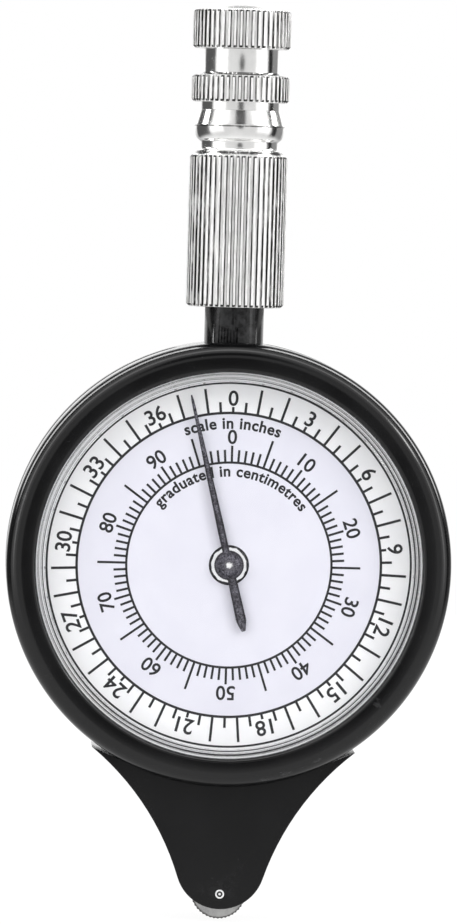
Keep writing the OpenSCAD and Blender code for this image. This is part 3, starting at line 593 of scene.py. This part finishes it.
def rubbed_pointer(graph, vector, radius):
    """A mask of the pointer's middle and of its hub, where a lighter grey is painted as a highlight."""
    along = graph.add("ShaderNodeMapping", {"Vector": vector, "Rotation": (0, -POINTER_REST, 0)})
    parts = graph.split(along.outputs[0])
    half = graph.remap(parts["Z"], -2.5, -1.0, 0.46, 0.24)
    across = graph.math("ABSOLUTE", parts["X"])
    middle = graph.remap(across, graph.math("MULTIPLY", half, 0.5), half, 1.0, 0.0)
    hub = graph.remap(radius, 1.35, 1.75, 1.0, 0.0)
    return graph.math("MAXIMUM", middle, hub)


def make_pointer_lacquer():
    """Blacked steel, with a painted highlight of mottled grey along its middle and on the hub, and a
    bright centre of bare steel at the arbor that is partly a painted highlight.
    """
    material, graph, shader = new_material("pointer_lacquer")
    vector = graph.millimetres(centre_z=DIAL_Z)
    radius = graph.radius_in_dial(vector)
    cloud, height = grain_on(graph, vector, 6.0, 1.1)
    mottle = graph.remap(height, 0.38, 0.62)
    # painted highlight: mottled lighter grey along the needle's middle and on the hub
    sheen_mask = graph.math("MULTIPLY", rubbed_pointer(graph, vector, radius), mottle)
    # a bright centre of bare steel, partly a painted highlight
    bare = graph.remap(graph.math("MULTIPLY_ADD", height, 0.5, radius), 0.68, 0.84, 1.0, 0.0)
    dark = graph.blend(cloud, (0.012, 0.011, 0.015, 1), (0.024, 0.022, 0.032, 1))
    grey = graph.blend(cloud, (0.1, 0.095, 0.115, 1), (0.2, 0.195, 0.225, 1))
    colour = graph.blend(bare, graph.blend(sheen_mask, dark, grey), BARE_STEEL_AND_HIGHLIGHT)
    dress(graph, shader, (cloud, height), colour, (0.22, 0.36), 0.00001, metallic=0.35)
    return material


def make_eyelet_finish():
    """A bright rolled rim, enamelled black round its edge; the black also paints shade on the rim's
    outer slope.
    """
    material, graph, shader = new_material("eyelet_metal")
    vector = graph.millimetres(centre_z=DIAL_Z)
    cloud, height = grain_on(graph, vector, 8.0, 0.9)
    uneven = graph.noise(vector, 1.1, 2.0)
    wobble = graph.math("MULTIPLY_ADD", uneven, 0.4, graph.radius_in_dial(vector))
    # black enamelling and painted shade round the rim's outer slope
    enamel_and_shade = graph.remap(wobble, *ENAMEL_AND_SHADE_R)
    metal = graph.blend(cloud, (0.84, 0.84, 0.85, 1), (0.92, 0.92, 0.93, 1))
    bare = graph.math("SUBTRACT", 1.0, enamel_and_shade)
    colour = graph.blend(enamel_and_shade, metal, ENAMEL_AND_SHADE)
    dress(graph, shader, (cloud, height), colour, (0.16, 0.3), 0.000003, metallic=bare)
    return material


def make_crystal():
    """Clear acrylic. Light that only has to reach the dial passes straight through it."""
    material, graph, shader = new_material("clear_acrylic")
    lines = graph.place(HAIRLINES, {"Vector": graph.millimetres(), "Density": 2.2, "Reach": 0.5})
    graph.feed(
        shader.inputs,
        {
            "Base Color": (0.985, 0.99, 1.0, 1),
            "Roughness": graph.math("MULTIPLY", lines.outputs[0], 0.05),
            "IOR": 1.49,
            "Transmission Weight": 1.0,
        },
    )
    path = graph.add("ShaderNodeLightPath").outputs
    passing = graph.math("MAXIMUM", path["Is Shadow Ray"], path["Is Diffuse Ray"])
    clear = graph.add("ShaderNodeBsdfTransparent", {"Color": (0.985, 0.985, 0.99, 1)})
    graph.feed(graph.end.inputs, {"Surface": graph.mix(passing, shader, clear).outputs[0]})
    return material


CASE_BLACK = make_black_plastic("case_black", (0.2, 0.28), 0.000006, 0.22, rim_gloss=0.12)
BEZEL_BLACK = make_black_plastic("bezel_black", (0.12, 0.17), 0.000002, 0.36)
STEM_BLACK = make_black_plastic("stem_black", (0.13, 0.17), 0.000001, 0.24, marks=0.1)
NICKEL = make_nickel()
DIAL_CARD = make_dial_card()
INK = make_ink()
LACQUER = make_pointer_lacquer()
CLEAR = make_crystal()
BRASS = make_metal("brass", (0.78, 0.57, 0.27, 1), (0.62, 0.42, 0.18, 1), 0.24, DIAL_Z)
STEEL = make_metal("bright_steel", (0.72, 0.72, 0.73, 1), (0.6, 0.6, 0.61, 1), 0.2, AXLE_Z, scale=2.0)
SCREW_STEEL = make_metal(
    "screw_steel", (0.4, 0.4, 0.4, 1), (0.28, 0.28, 0.28, 1), 0.28, DIAL_Z, slot_y=SCREW_FACE_Y
)
WHEEL_STEEL = make_wheel_steel()
AXLE_STEEL = make_axle_steel()
ARBOR_STEEL = make_arbor_steel()
EYELET_METAL = make_eyelet_finish()

# ---- case ----

# how far an edge may lie from the nose's face and still count as on it
CLOSE = 0.01
NOSE_ROUND = 0.14
CROWN_ROUND = 1.9
LIP_ROUND = 0.5
SEAT_R = CRYSTAL_R + 0.01
SHELF_R = 24.96
SHELF_Y = -5.21


def soften_nose(bm, face_y):
    """Rounds the outline of the nose's flat face, as the mould leaves it."""
    outline = []
    for edge in bm.edges:
        ends = [vert.co for vert in edge.verts]
        on_face = all(abs(end.y - face_y) < CLOSE for end in ends)
        on_nose = all(math.hypot(end.x, end.z - DIAL_Z) > CASE_R + 0.05 for end in ends)
        at_axle = any(math.hypot(end.x, end.z - AXLE_Z) < 1 for end in ends)
        if on_face and on_nose and not at_axle and edge.calc_face_angle(0) > math.radians(60):
            outline.append(edge)
    shape = {"offset": NOSE_ROUND, "offset_type": "OFFSET", "segments": 3, "profile": 0.5}
    bmesh.ops.bevel(bm, geom=outline, affect="EDGES", clamp_overlap=True, material=-1, **shape)


def copied_node(node):
    """A bmesh of a node of the frame, in millimetres."""
    bm = bmesh.new()
    bm.from_mesh(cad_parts[node].data)
    bmesh.ops.scale(bm, vec=(1 / MM, 1 / MM, 1 / MM), verts=bm.verts)
    return bm


def make_shell(name, node, face_y):
    """A smooth-shaded copy of one half of the case, its loose triangles merged."""
    bm = copied_node(node)
    bmesh.ops.remove_doubles(bm, verts=bm.verts, dist=HAIR)
    bmesh.ops.dissolve_limit(
        bm, angle_limit=math.radians(0.3), use_dissolve_boundaries=False, verts=bm.verts, edges=bm.edges
    )
    soften_nose(bm, face_y)
    shell = finished(name, bm, CASE_BLACK, "case", [node], sharp=28)
    for face in shell.data.polygons:
        if abs(face.normal.y) > 0.99999:
            face.use_smooth = False


def make_bezel():
    """The convex ring round the crystal: crown, lip, the crystal's seat and the foot by the seam."""
    profile = arc(CASE_R - CROWN_ROUND, FRONT_Y + CROWN_ROUND, CROWN_ROUND, 0, -90, 20)
    profile += arc(LIP_R + LIP_ROUND, FRONT_Y + LIP_ROUND, LIP_ROUND, -90, -180, 10)
    profile += [(LIP_R, LIP_Y), (SEAT_R, LIP_Y), (SEAT_R, SHELF_Y), (SHELF_R, SHELF_Y)]
    profile += [(SHELF_R, -NOSE_Y), (CASE_R - SEAM, -NOSE_Y), (CASE_R, -NOSE_Y - SEAM)]
    bm = turned_on_dial(profile, 320)
    finished("bezel", bm, BEZEL_BLACK, "case", ["bezel_ring"])


def make_stem():
    """The black round post between the case and the grip."""
    finished("stem_post", copied_node("stem"), STEM_BLACK, "case", ["stem"])


# ---- dial ----

# radii of the crystal's steps, how far each one falls, and how its corners are rounded
CRYSTAL_STEPS = (WINDOW_R, 22.0, 22.4)
STEP_FALL = 0.2
STEP_WALL = 0.1
STEP_CROWN = 0.08
STEP_HOLLOW = 0.1
CRYSTAL_FOOT = 0.8
# thickness of the ink, and how much bolder and wider the lettering is than its typeface
INK_T = 0.012
INK_SPREAD = 0.016
WORD_SPREAD = 0.028
WORD_SPACE = 1.07
OUTER_LINE = 0.3
INNER_LINE = 0.27
# printed circles at the dial's edge: radius and width of the line
RING_LINES = ((21.47, 0.24), (21.95, 0.19), (22.42, 0.2))
OUTER_WHOLES = 39
INNER_UNITS = 100
OUTER_SCALE = {"circle": 17.94, "whole": 20.95, "half": 19.24, "under_number": 18.65}
OUTER_TEXT = {"number": 19.68, "digit": 1.85, "words": 16.75, "letter": 1.4}
INNER_SCALE = {"circle": 12.1, "unit": 13.61, "ten": 14.09, "five": 15.51}
INNER_TEXT = {"number": 15.12, "digit": 1.72, "words": 10.9, "letter": 1.75}
EYELET_HOLE_R = 1.05
EYELET_SHANK_R = 1.45
EYELET_BACK_Y = -2.9
EYELET_LIP = 0.15
# radii across the eyelet's rim, with the height above the dial
EYELET_DOME = ((1.75, 0.2), (2.1, 0.17), (2.28, 0.1), (2.37, 0.0))


def make_crystal_window():
    """The clear window, which falls in small rounded steps to the flange under the lip."""
    profile = [(0, CRYSTAL_BACK_Y), (0, WINDOW_FRONT_Y), (WINDOW_R, WINDOW_FRONT_Y)]
    for i, step_r in enumerate(CRYSTAL_STEPS):
        wall = step_r + STEP_WALL
        top = WINDOW_FRONT_Y + STEP_FALL * i
        profile += arc(wall - STEP_CROWN, top + STEP_CROWN, STEP_CROWN, -90, 0, 6)
        profile += arc(wall + STEP_HOLLOW, top + STEP_HOLLOW, STEP_HOLLOW, 180, 90, 6)
    foot_r = CRYSTAL_R - CRYSTAL_FOOT
    profile += [(CRYSTAL_R, LIP_Y), (CRYSTAL_R, DIAL_FRONT_Y)]
    profile += [(foot_r, DIAL_FRONT_Y), (foot_r, CRYSTAL_BACK_Y)]
    bm = turned_on_dial(profile, 256, closed=False)
    finished("crystal_window", bm, CLEAR, "case", ["crystal"], sharp=20)


def dial_turn(angle):
    """Places a drawing made upright at the top of the dial at an angle, clockwise."""
    upright = Matrix.Rotation(math.radians(90), 4, "X")
    place = Matrix.Translation((0, DIAL_FRONT_Y, DIAL_Z))
    return place @ upright @ Matrix.Rotation(-angle, 4, "Z")


def print_tick(bm, angle, low, high, width):
    """Adds a straight mark between two radii."""
    size = Matrix.Diagonal((width, high - low, INK_T, 1))
    middle = Matrix.Translation((0, (low + high) / 2, INK_T / 2))
    bmesh.ops.create_cube(bm, size=1, matrix=dial_turn(angle) @ middle @ size)


def print_circle(bm, radius, width):
    """Adds a printed circle, its line centred on a radius."""
    back = DIAL_FRONT_Y
    front = DIAL_FRONT_Y - INK_T
    low = radius - width / 2
    high = radius + width / 2
    points = [(low, back, DIAL_Z), (low, front, DIAL_Z), (high, front, DIAL_Z), (high, back, DIAL_Z)]
    spin_profile(bm, points, (0, 1, 0), (0, 0, DIAL_Z), 256)


def bend(mesh, radius):
    """Bends a line of lettering, drawn from a radius up, round the dial's centre."""
    for vert in mesh.vertices:
        turn = vert.co.x / radius
        reach = vert.co.y
        vert.co.x = reach * math.sin(turn)
        vert.co.y = reach * math.cos(turn)


def text_mesh(text, bent):
    """Lettering as a mesh, thickened like print; bent lines are set bolder and wider."""
    curve = bpy.data.curves.new("lettering", "FONT")
    curve.body = text
    curve.align_x = "CENTER"
    curve.resolution_u = 4
    curve.bevel_depth = WORD_SPREAD if bent else INK_SPREAD
    curve.space_character = WORD_SPACE if bent else 1.0
    curve.bevel_resolution = 0
    carrier = new_object("lettering", curve)
    bpy.context.view_layer.update()
    mesh = bpy.data.meshes.new_from_object(carrier)
    bpy.data.objects.remove(carrier)
    return mesh


def print_text(bm, text, angle, radius, height, bent=False):
    """Adds upright lettering, its middle at a radius, with tops pointing outwards."""
    mesh = text_mesh(text, bent)
    corners = [v.co for v in mesh.vertices]
    low = Vector([min(c[i] for c in corners) for i in range(3)])
    high = Vector([max(c[i] for c in corners) for i in range(3)])
    middle = (low + high) / 2
    grow = height / (high.y - low.y)
    size = Matrix.Diagonal((grow, grow, INK_T / (high.z - low.z), 1))
    centred = Matrix.Translation((-middle.x, -middle.y, -low.z))
    mesh.transform(Matrix.Translation((0, radius, 0)) @ size @ centred)
    if bent:
        bend(mesh, radius)
    mesh.transform(dial_turn(angle))
    bm.from_mesh(mesh)
    bpy.data.meshes.remove(mesh)


def print_outer_scale(bm):
    """Thirty-nine divisions with halves, numbered by threes."""
    print_circle(bm, OUTER_SCALE["circle"], OUTER_LINE)
    for i in range(2 * OUTER_WHOLES):
        angle = math.tau * i / (2 * OUTER_WHOLES)
        reach = OUTER_SCALE["whole"]
        if i % 2:
            reach = OUTER_SCALE["half"]
        elif i % 6 == 0:
            reach = OUTER_SCALE["under_number"]
        print_tick(bm, angle, OUTER_SCALE["circle"], reach, OUTER_LINE)
    for number in range(0, OUTER_WHOLES, 3):
        angle = math.tau * number / OUTER_WHOLES
        print_text(bm, str(number), angle, OUTER_TEXT["number"], OUTER_TEXT["digit"])
    print_text(bm, "scale in inches", 0, OUTER_TEXT["words"], OUTER_TEXT["letter"], bent=True)


def print_inner_scale(bm):
    """A hundred divisions, numbered by tens, with tall marks at the fives."""
    print_circle(bm, INNER_SCALE["circle"], INNER_LINE)
    for i in range(INNER_UNITS):
        angle = math.tau * i / INNER_UNITS
        reach = INNER_SCALE["unit"]
        if i % 10 == 5:
            reach = INNER_SCALE["five"]
        elif i % 10 == 0:
            reach = INNER_SCALE["ten"]
        print_tick(bm, angle, INNER_SCALE["circle"], reach, INNER_LINE)
    for number in range(0, INNER_UNITS, 10):
        angle = math.tau * number / INNER_UNITS
        print_text(bm, str(number), angle, INNER_TEXT["number"], INNER_TEXT["digit"])
    words = "graduated in centimetres"
    print_text(bm, words, 0, INNER_TEXT["words"], INNER_TEXT["letter"], bent=True)


def make_dial_print():
    """Both scales and the lines round the dial's edge, as a thin layer of ink."""
    bm = bmesh.new()
    print_outer_scale(bm)
    print_inner_scale(bm)
    for radius, width in RING_LINES:
        print_circle(bm, radius, width)
    bmesh.ops.scale(bm, vec=(MM, MM, MM), verts=bm.verts)
    piece = new_object("dial_print", mesh_of("dial_print", bm, INK))
    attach(piece, "case")


def make_eyelet():
    """The bright rolled rim of the hole that the pointer's arbor comes through."""
    lip_r = EYELET_HOLE_R + EYELET_LIP
    profile = [(EYELET_HOLE_R, EYELET_BACK_Y), (EYELET_HOLE_R, DIAL_FRONT_Y - 0.1)]
    profile += arc(lip_r, DIAL_FRONT_Y - 0.05, EYELET_LIP, 180, 270, 5)
    profile += [(r, DIAL_FRONT_Y - rise) for r, rise in EYELET_DOME]
    profile += [(EYELET_SHANK_R, DIAL_FRONT_Y), (EYELET_SHANK_R, EYELET_BACK_Y)]
    bm = turned_on_dial(profile, 96)
    finished("eyelet_rim", bm, EYELET_METAL, "case", ["dial_eyelet"], sharp=40)


# ---- pointer ----

# stations of the two blades: how far from the centre, half the width, height of the ridge
NEEDLE = ((0.5, 0.4, 0.1), (4, 0.44, 0.12), (11, 0.34, 0.11), (19.9, 0.16, 0.08), (20.55, 0.08, 0.03))
TAIL = ((-0.5, 0.5, 0.1), (-6.4, 0.6, 0.12), (-6.8, 0.58, 0.12), (-7.9, 0.27, 0.06), (-8, 0.2, 0.04))
BLADE_BEVEL = 0.06
# radii of the boss and of the hub's disc, with the depth below the boss's top and the blade's face
BOSS_DOME = ((0.61, 0.06), (0.3, 0.05), (0.3, 0.02), (0.4, 0), (0.95, 0.04), (1.2, 0.13), (1.33, 0.25))
HUB_DISC = ((1.36, -0.04), (1.44, 0), (1.66, 0.02), (1.74, 0.08))


def pointer_place():
    """Turns a drawing made along +Z through the dial's centre to the pointer's rest angle."""
    turn = Matrix.Rotation(POINTER_REST, 4, "Y")
    return Matrix.Translation((0, 0, DIAL_Z)) @ turn


def blade_section(station):
    """The five corners of a ridged blade's section at a station."""
    z, half, rise = station
    base = NEEDLE_BACK_Y
    edge = NEEDLE_FRONT_Y + BLADE_BEVEL
    return [(-half, base, z), (-half, edge, z), (0, edge - rise, z), (half, edge, z), (half, base, z)]


def blade(bm, stations):
    """Adds a ridged blade along Z, turned to the pointer's rest angle."""
    first = [bm.verts.new(p) for p in blade_section(stations[0])]
    face = bm.faces.new(first)
    made = list(first)
    for station in stations[1:]:
        grown = bmesh.ops.extrude_face_region(bm, geom=[face])
        face = next(f for f in grown["geom"] if isinstance(f, bmesh.types.BMFace))
        for vert, place in zip(face.verts, blade_section(station)):
            vert.co = place
        made += list(face.verts)
    bmesh.ops.transform(bm, matrix=pointer_place(), verts=made)


def make_pointer():
    """The pointer with its needle, tail and hub, and the domed boss on it."""
    bm = bmesh.new()
    blade(bm, NEEDLE)
    blade(bm, TAIL)
    profile = [(BOSS_DOME[0][0], NEEDLE_BACK_Y)]
    profile += [(r, BOSS_FRONT_Y + depth) for r, depth in BOSS_DOME]
    profile += [(r, NEEDLE_FRONT_Y + depth) for r, depth in HUB_DISC]
    profile += [(HUB_DISC[-1][0], NEEDLE_BACK_Y)]
    points = [(r, y, DIAL_Z) for r, y in profile]
    spin_profile(bm, points, (0, 1, 0), (0, 0, DIAL_Z), 64)
    nodes = ["pointer", "pointer_boss"]
    finished("pointer_hand", bm, LACQUER, "pointer_work", nodes, sharp=25)


# ---- wheel ----

# radii of the axle's riveted end, with their depth below the nose's face
PIN_HOLLOW = ((0, 0.06), (0.13, 0.06), (0.19, 0.2), (0.31, 0.2), (0.36, 0.02))
PIN_RIM = ((0.4, 0), (0.5, 0), (0.55, 0.05))


def make_axle_pin():
    """The pin that the wheel turns on, its ends riveted over a drilled hollow."""
    half = [(r, NOSE_Y - depth) for r, depth in PIN_HOLLOW + PIN_RIM]
    profile = half + [(r, -y) for r, y in reversed(half)]
    bm = turned_on_dial(profile, 48, AXLE_Z, closed=False)
    finished("axle_pin", bm, AXLE_STEEL, "case", ["wheel_axle"], sharp=35)


# ---- grip ----

# shares of a flute, from its middle, where its flat floor ends and where the land starts
FLOOR_END = 1 / 6
LAND_START = 1 / 3
FLUTE_STEPS = 12
SKIN = 0.6
BORE_R = 2.6
# the chamfer of a knurled end: distance from the end, and depth
KNURL_END = ((0.0, 0.35), (0.06, 0.28), (0.2, 0.14), (0.35, 0.0))
KNURL_ROWS = (0.3, 0.5, 0.7)
BARREL_END_R = 4.9
BARREL_CHAMFER = 0.3
FILLET = 0.35
BEAD_R = 4.75
BEAD_RISE = 0.6
BEAD_LENGTH = 1.65
BEAD_STEPS = 14
# radii of the bead's sharp upper edge, with the height above it
BEAD_EDGE = ((5.29, 0.05), (5.29, 0.1), (5.24, 0.27))
DOME_R = 4.8
DOME_RISE = 1
DOME_STEPS = 12


def flute(angle):
    """How deep the straight knurl is cut at an angle, from 0 on a land to 1."""
    from_middle = abs((angle / math.tau * FLUTES) % 1 - 0.5)
    share = (LAND_START - from_middle) / (LAND_START - FLOOR_END)
    return min(1.0, max(0.0, share))


def cut_flutes(bm, low, high):
    """Pulls the skin of a turned bar in along the flutes between two heights."""
    for vert in bm.verts:
        radius = math.hypot(vert.co.x, vert.co.y)
        if low - HAIR <= vert.co.z <= high + HAIR and radius > GRIP_R - SKIN:
            angle = math.atan2(vert.co.y, vert.co.x)
            wanted = min(radius, GRIP_R - FLUTE_DEPTH * flute(angle))
            vert.co.x *= wanted / radius
            vert.co.y *= wanted / radius


def knurl_rows(low, high):
    """Rows of a knurled length, close together at its chamfered ends."""
    rows = [(GRIP_R - cut, low + rise) for rise, cut in KNURL_END]
    rows += [(GRIP_R, low + (high - low) * share) for share in KNURL_ROWS]
    rows += [(GRIP_R - cut, high - rise) for rise, cut in reversed(KNURL_END)]
    return rows


def make_grip_barrel():
    """The knurled barrel with the neck and the bead turned on its upper end."""
    profile = [(BORE_R, BARREL_Z + BARREL_CHAMFER), (BORE_R, BARREL_Z), (BARREL_END_R, BARREL_Z)]
    profile += knurl_rows(BARREL_Z, BARREL_TOP_Z)
    profile += arc(5.0, NECK_Z + 0.3, FILLET, 270, 180, 6)
    profile += arc(4.9, BEAD_Z - 0.2, 0.25, 180, 120, 3)
    for i in range(1, BEAD_STEPS + 1):
        turn = math.radians(90 * i / BEAD_STEPS)
        z = BEAD_EDGE_Z - BEAD_LENGTH * math.cos(turn)
        profile.append((BEAD_R + BEAD_RISE * math.sin(turn), z))
    profile += [(r, BEAD_EDGE_Z + rise) for r, rise in BEAD_EDGE]
    profile += [(4.78, BEAD_TOP_Z - 0.05), (4.72, BEAD_TOP_Z), (BORE_R, BEAD_TOP_Z)]
    bm = turned_on_grip(profile, FLUTES * FLUTE_STEPS)
    cut_flutes(bm, BARREL_Z, BARREL_TOP_Z)
    finished("grip_sleeve", bm, NICKEL, "case", ["grip_barrel"], sharp=24)


def make_grip_head():
    """The head of the grip: knurled collar, neck, and knurled cap with a low dome."""
    dome_ball = (DOME_R**2 + DOME_RISE**2) / (2 * DOME_RISE)
    profile = [(BORE_R, BEAD_TOP_Z), (BEAD_R, BEAD_TOP_Z), (BEAD_R, COLLAR_Z)]
    profile += knurl_rows(COLLAR_Z, UPPER_NECK_Z)
    profile += arc(4.81, UPPER_NECK_Z + FILLET, FILLET, 270, 180, 6)
    profile += arc(4.56, CAP_Z - 0.1, 0.1, 180, 90, 3)
    profile += knurl_rows(CAP_Z, CAP_TOP_Z)
    profile += [(DOME_R + 0.08, CAP_TOP_Z), (DOME_R, CAP_TOP_Z + 0.03)]
    for i in range(1, DOME_STEPS + 1):
        r = DOME_R * (1 - i / DOME_STEPS)
        z = GRIP_TOP_Z - dome_ball + math.sqrt(dome_ball**2 - r**2)
        profile.append((r, z))
    bm = turned_on_grip(profile, FLUTES * FLUTE_STEPS)
    cut_flutes(bm, COLLAR_Z, UPPER_NECK_Z)
    cut_flutes(bm, CAP_Z, CAP_TOP_Z)
    finished("grip_crown", bm, NICKEL, "case", ["grip_head"], sharp=24)


# ---- frame nodes that keep their shape ----


def dress_nodes():
    """Gives every node that is still shown the finish of its real part."""
    finishes = {
        DIAL_CARD: ["dial_plate"],
        BRASS: [
            "center_gear",
            "second_gear",
            "first_gear",
            "idler_gear",
            "wheel_pinion",
            "movement_plate",
            "center_bush",
        ],
        STEEL: [
            "second_arbor",
            "first_arbor",
            "idler_pin",
            "plate_screws",
            "handle_stud",
            "stud_nut",
        ],
        ARBOR_STEEL: ["center_arbor"],
        SCREW_STEEL: ["case_screws"],
        WHEEL_STEEL: ["tracing_wheel"],
    }
    for material, nodes in finishes.items():
        for node in nodes:
            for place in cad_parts[node].material_slots:
                place.material = material


# ---- studio ----

FLOOR_R = 0.5
FLOOR_DROP = 0.00005
FLOOR_WHITE = 1.06
WHITE = (1, 1, 1, 1)
LAMP_PLACE = (0.76, -0.44, 0.52)
LAMP_TARGET = (0, 0, 0.045)
LAMP_SIDE = 0.16
LAMP_POWER = 1.3
CAMERA_AZIMUTH = math.radians(-2.6)
CAMERA_ELEVATION = math.radians(2.8)
CAMERA_ROLL = math.radians(1.6)
CAMERA_DISTANCE = 0.7
CAMERA_AIM = Vector((-0.0002, 0, 0.05427))
PIXELS_PER_METRE = 8447
PICTURE_HEIGHT = 924
SENSOR = 36


def floor_material():
    """White to the camera away from the part; near it the part's own shadow shows."""
    material, graph, shader = new_material("studio_floor")
    place = graph.add("ShaderNodeTexCoord").outputs["Object"]
    away = graph.add("ShaderNodeVectorMath", {0: place}, operation="LENGTH").outputs["Value"]
    colour = graph.blend(graph.noise(place, 40.0, 3.0), (0.86, 0.86, 0.86, 1), (0.9, 0.9, 0.9, 1))
    graph.feed(shader.inputs, {"Base Color": colour, "Roughness": 0.9})
    white = graph.add("ShaderNodeEmission", {"Color": WHITE, "Strength": FLOOR_WHITE})
    path = graph.add("ShaderNodeLightPath").outputs
    glossy = path["Is Glossy Ray"]
    seen = graph.chain("MAXIMUM", path["Is Camera Ray"], glossy, path["Is Transmission Ray"])
    share = graph.math("MULTIPLY", seen, graph.remap(away, 0.004, 0.025, 0.88, 1.0))
    lit = graph.mix(share, shader, white)
    fading = graph.math("MULTIPLY", graph.remap(away, 0.03, 0.3), glossy)
    below = graph.add("ShaderNodeNewGeometry").outputs["Backfacing"]
    clear = graph.add("ShaderNodeBsdfTransparent")
    sided = graph.mix(graph.math("MAXIMUM", below, fading), lit, clear)
    graph.feed(graph.end.inputs, {"Surface": sided.outputs[0]})
    return material


def make_floor():
    """A round white table top, which is clear from below."""
    bm = bmesh.new()
    bmesh.ops.create_circle(bm, cap_ends=True, segments=128, radius=FLOOR_R)
    floor = new_object("floor", mesh_of("floor", bm, floor_material()))
    floor.location.z = -FLOOR_DROP


def sky_angles(graph):
    """Degrees from the dial's axis, height above the horizon, and turn to the right."""
    place = graph.add("ShaderNodeTexCoord").outputs["Generated"]
    side, depth, up = graph.split(place)
    front = graph.math("MULTIPLY", depth, -1.0)
    angles = (
        graph.math("ARCCOSINE", front),
        graph.math("ARCSINE", up),
        graph.math("ARCTAN2", side, front),
    )
    return [graph.math("MULTIPLY", angle, 180 / math.pi) for angle in angles]


def front_light(graph, degrees, height, azimuth):
    """A ring of light boxes and a brighter bar, with a dark lens and a boom in front of them."""
    lens = graph.remap(degrees, 4, 12, 0.1, 0.8)
    boxes = graph.math("MULTIPLY", graph.remap(degrees, 36, 48), graph.remap(height, -35, -8, 0.3, 1.35))
    bar = graph.band(degrees, (58, 62), (68, 72))
    bar = graph.math("MULTIPLY", bar, graph.remap(height, -12, 4, 0.0, 2.9))
    lit = graph.math("ADD", graph.math("MAXIMUM", lens, boxes), bar)
    boom = graph.remap(graph.math("ABSOLUTE", azimuth), 12, 18, 0.94, 0.0)
    boom = graph.math("MULTIPLY", boom, graph.band(height, (23, 27), (42, 48)))
    edge = graph.remap(degrees, 82, 92, 1.0, 0.0)
    return graph.chain("MULTIPLY", lit, graph.math("SUBTRACT", 1.0, boom), edge)


def back_light(graph, degrees, height, glossy):
    """A panel behind the part, and a strong strip that only its glossy edges catch."""
    panel = graph.math("MULTIPLY", graph.remap(degrees, 138, 150), graph.remap(height, -16, 8, 0.5, 1.4))
    strip = graph.band(degrees, (100, 104), (112, 116))
    strip = graph.chain("MULTIPLY", strip, graph.remap(height, 8, 20, 0.0, 13.0), glossy)
    return graph.math("MAXIMUM", panel, strip)


def side_flags(graph, height, azimuth):
    """The least light from any side: a little from above, from the left and from the right."""
    above = graph.remap(height, 30, 60, 0.02, 0.4)
    left = graph.remap(azimuth, -90, -60, 0.1, 0.0)
    right = graph.remap(azimuth, 104, 112, 0.0, 0.3)
    return graph.chain("MAXIMUM", above, left, right)


def make_world():
    """Rings of light and dark about the dial's axis: a light tent with the lens in its front."""
    world = bpy.data.worlds.new("studio")
    bpy.context.scene.world = world
    world.use_nodes = True
    world.node_tree.nodes.clear()
    graph = Graph(world.node_tree)
    path = graph.add("ShaderNodeLightPath").outputs
    degrees, height, azimuth = sky_angles(graph)
    level = graph.chain(
        "MAXIMUM",
        front_light(graph, degrees, height, azimuth),
        back_light(graph, degrees, height, path["Is Glossy Ray"]),
        side_flags(graph, height, azimuth),
    )
    level = graph.shift(graph.remap(height, -40, -20, 1.0, 0.0), level, 0.5)
    light = graph.add("ShaderNodeBackground", {"Color": WHITE, "Strength": level})
    white = graph.add("ShaderNodeBackground", {"Color": WHITE, "Strength": 1.0})
    seen = graph.math("MAXIMUM", path["Is Camera Ray"], path["Is Transmission Ray"])
    graph.add("ShaderNodeOutputWorld", {"Surface": graph.mix(seen, light, white).outputs[0]})


def make_lamp():
    """A small square light, for a spark on the bezel and the grip."""
    lamp = bpy.data.lights.new("spark", "AREA")
    lamp.shape = "RECTANGLE"
    lamp.size = LAMP_SIDE
    lamp.size_y = LAMP_SIDE
    lamp.energy = LAMP_POWER
    carrier = new_object("spark", lamp)
    carrier.location = LAMP_PLACE
    aim = Vector(LAMP_TARGET) - Vector(LAMP_PLACE)
    carrier.rotation_euler = aim.to_track_quat("-Z", "Y").to_euler()


def make_camera():
    """A long lens a little to the left of the dial's axis and a little above it."""
    level = math.cos(CAMERA_ELEVATION)
    side = math.sin(CAMERA_AZIMUTH) * level
    front = -math.cos(CAMERA_AZIMUTH) * level
    back = Vector((side, front, math.sin(CAMERA_ELEVATION)))
    lens = bpy.data.cameras.new("camera")
    lens.sensor_width = SENSOR
    lens.lens = PIXELS_PER_METRE * CAMERA_DISTANCE * SENSOR / PICTURE_HEIGHT
    lens.clip_start = 0.01
    lens.clip_end = 10
    camera = new_object("camera", lens)
    place = Matrix.Translation(CAMERA_AIM + back * CAMERA_DISTANCE)
    turn = (-back).to_track_quat("-Z", "Y").to_matrix().to_4x4()
    camera.matrix_world = place @ turn @ Matrix.Rotation(CAMERA_ROLL, 4, "Z")
    bpy.context.scene.camera = camera


make_camera()
make_world()
make_floor()
make_lamp()
make_shell("case_rear", "rear_case", NOSE_Y)
make_shell("case_front", "front_case", -NOSE_Y)
make_bezel()
make_stem()
make_crystal_window()
make_dial_print()
make_eyelet()
make_pointer()
make_axle_pin()
make_grip_barrel()
make_grip_head()
dress_nodes()

bpy.context.scene.view_settings.view_transform = "Standard"
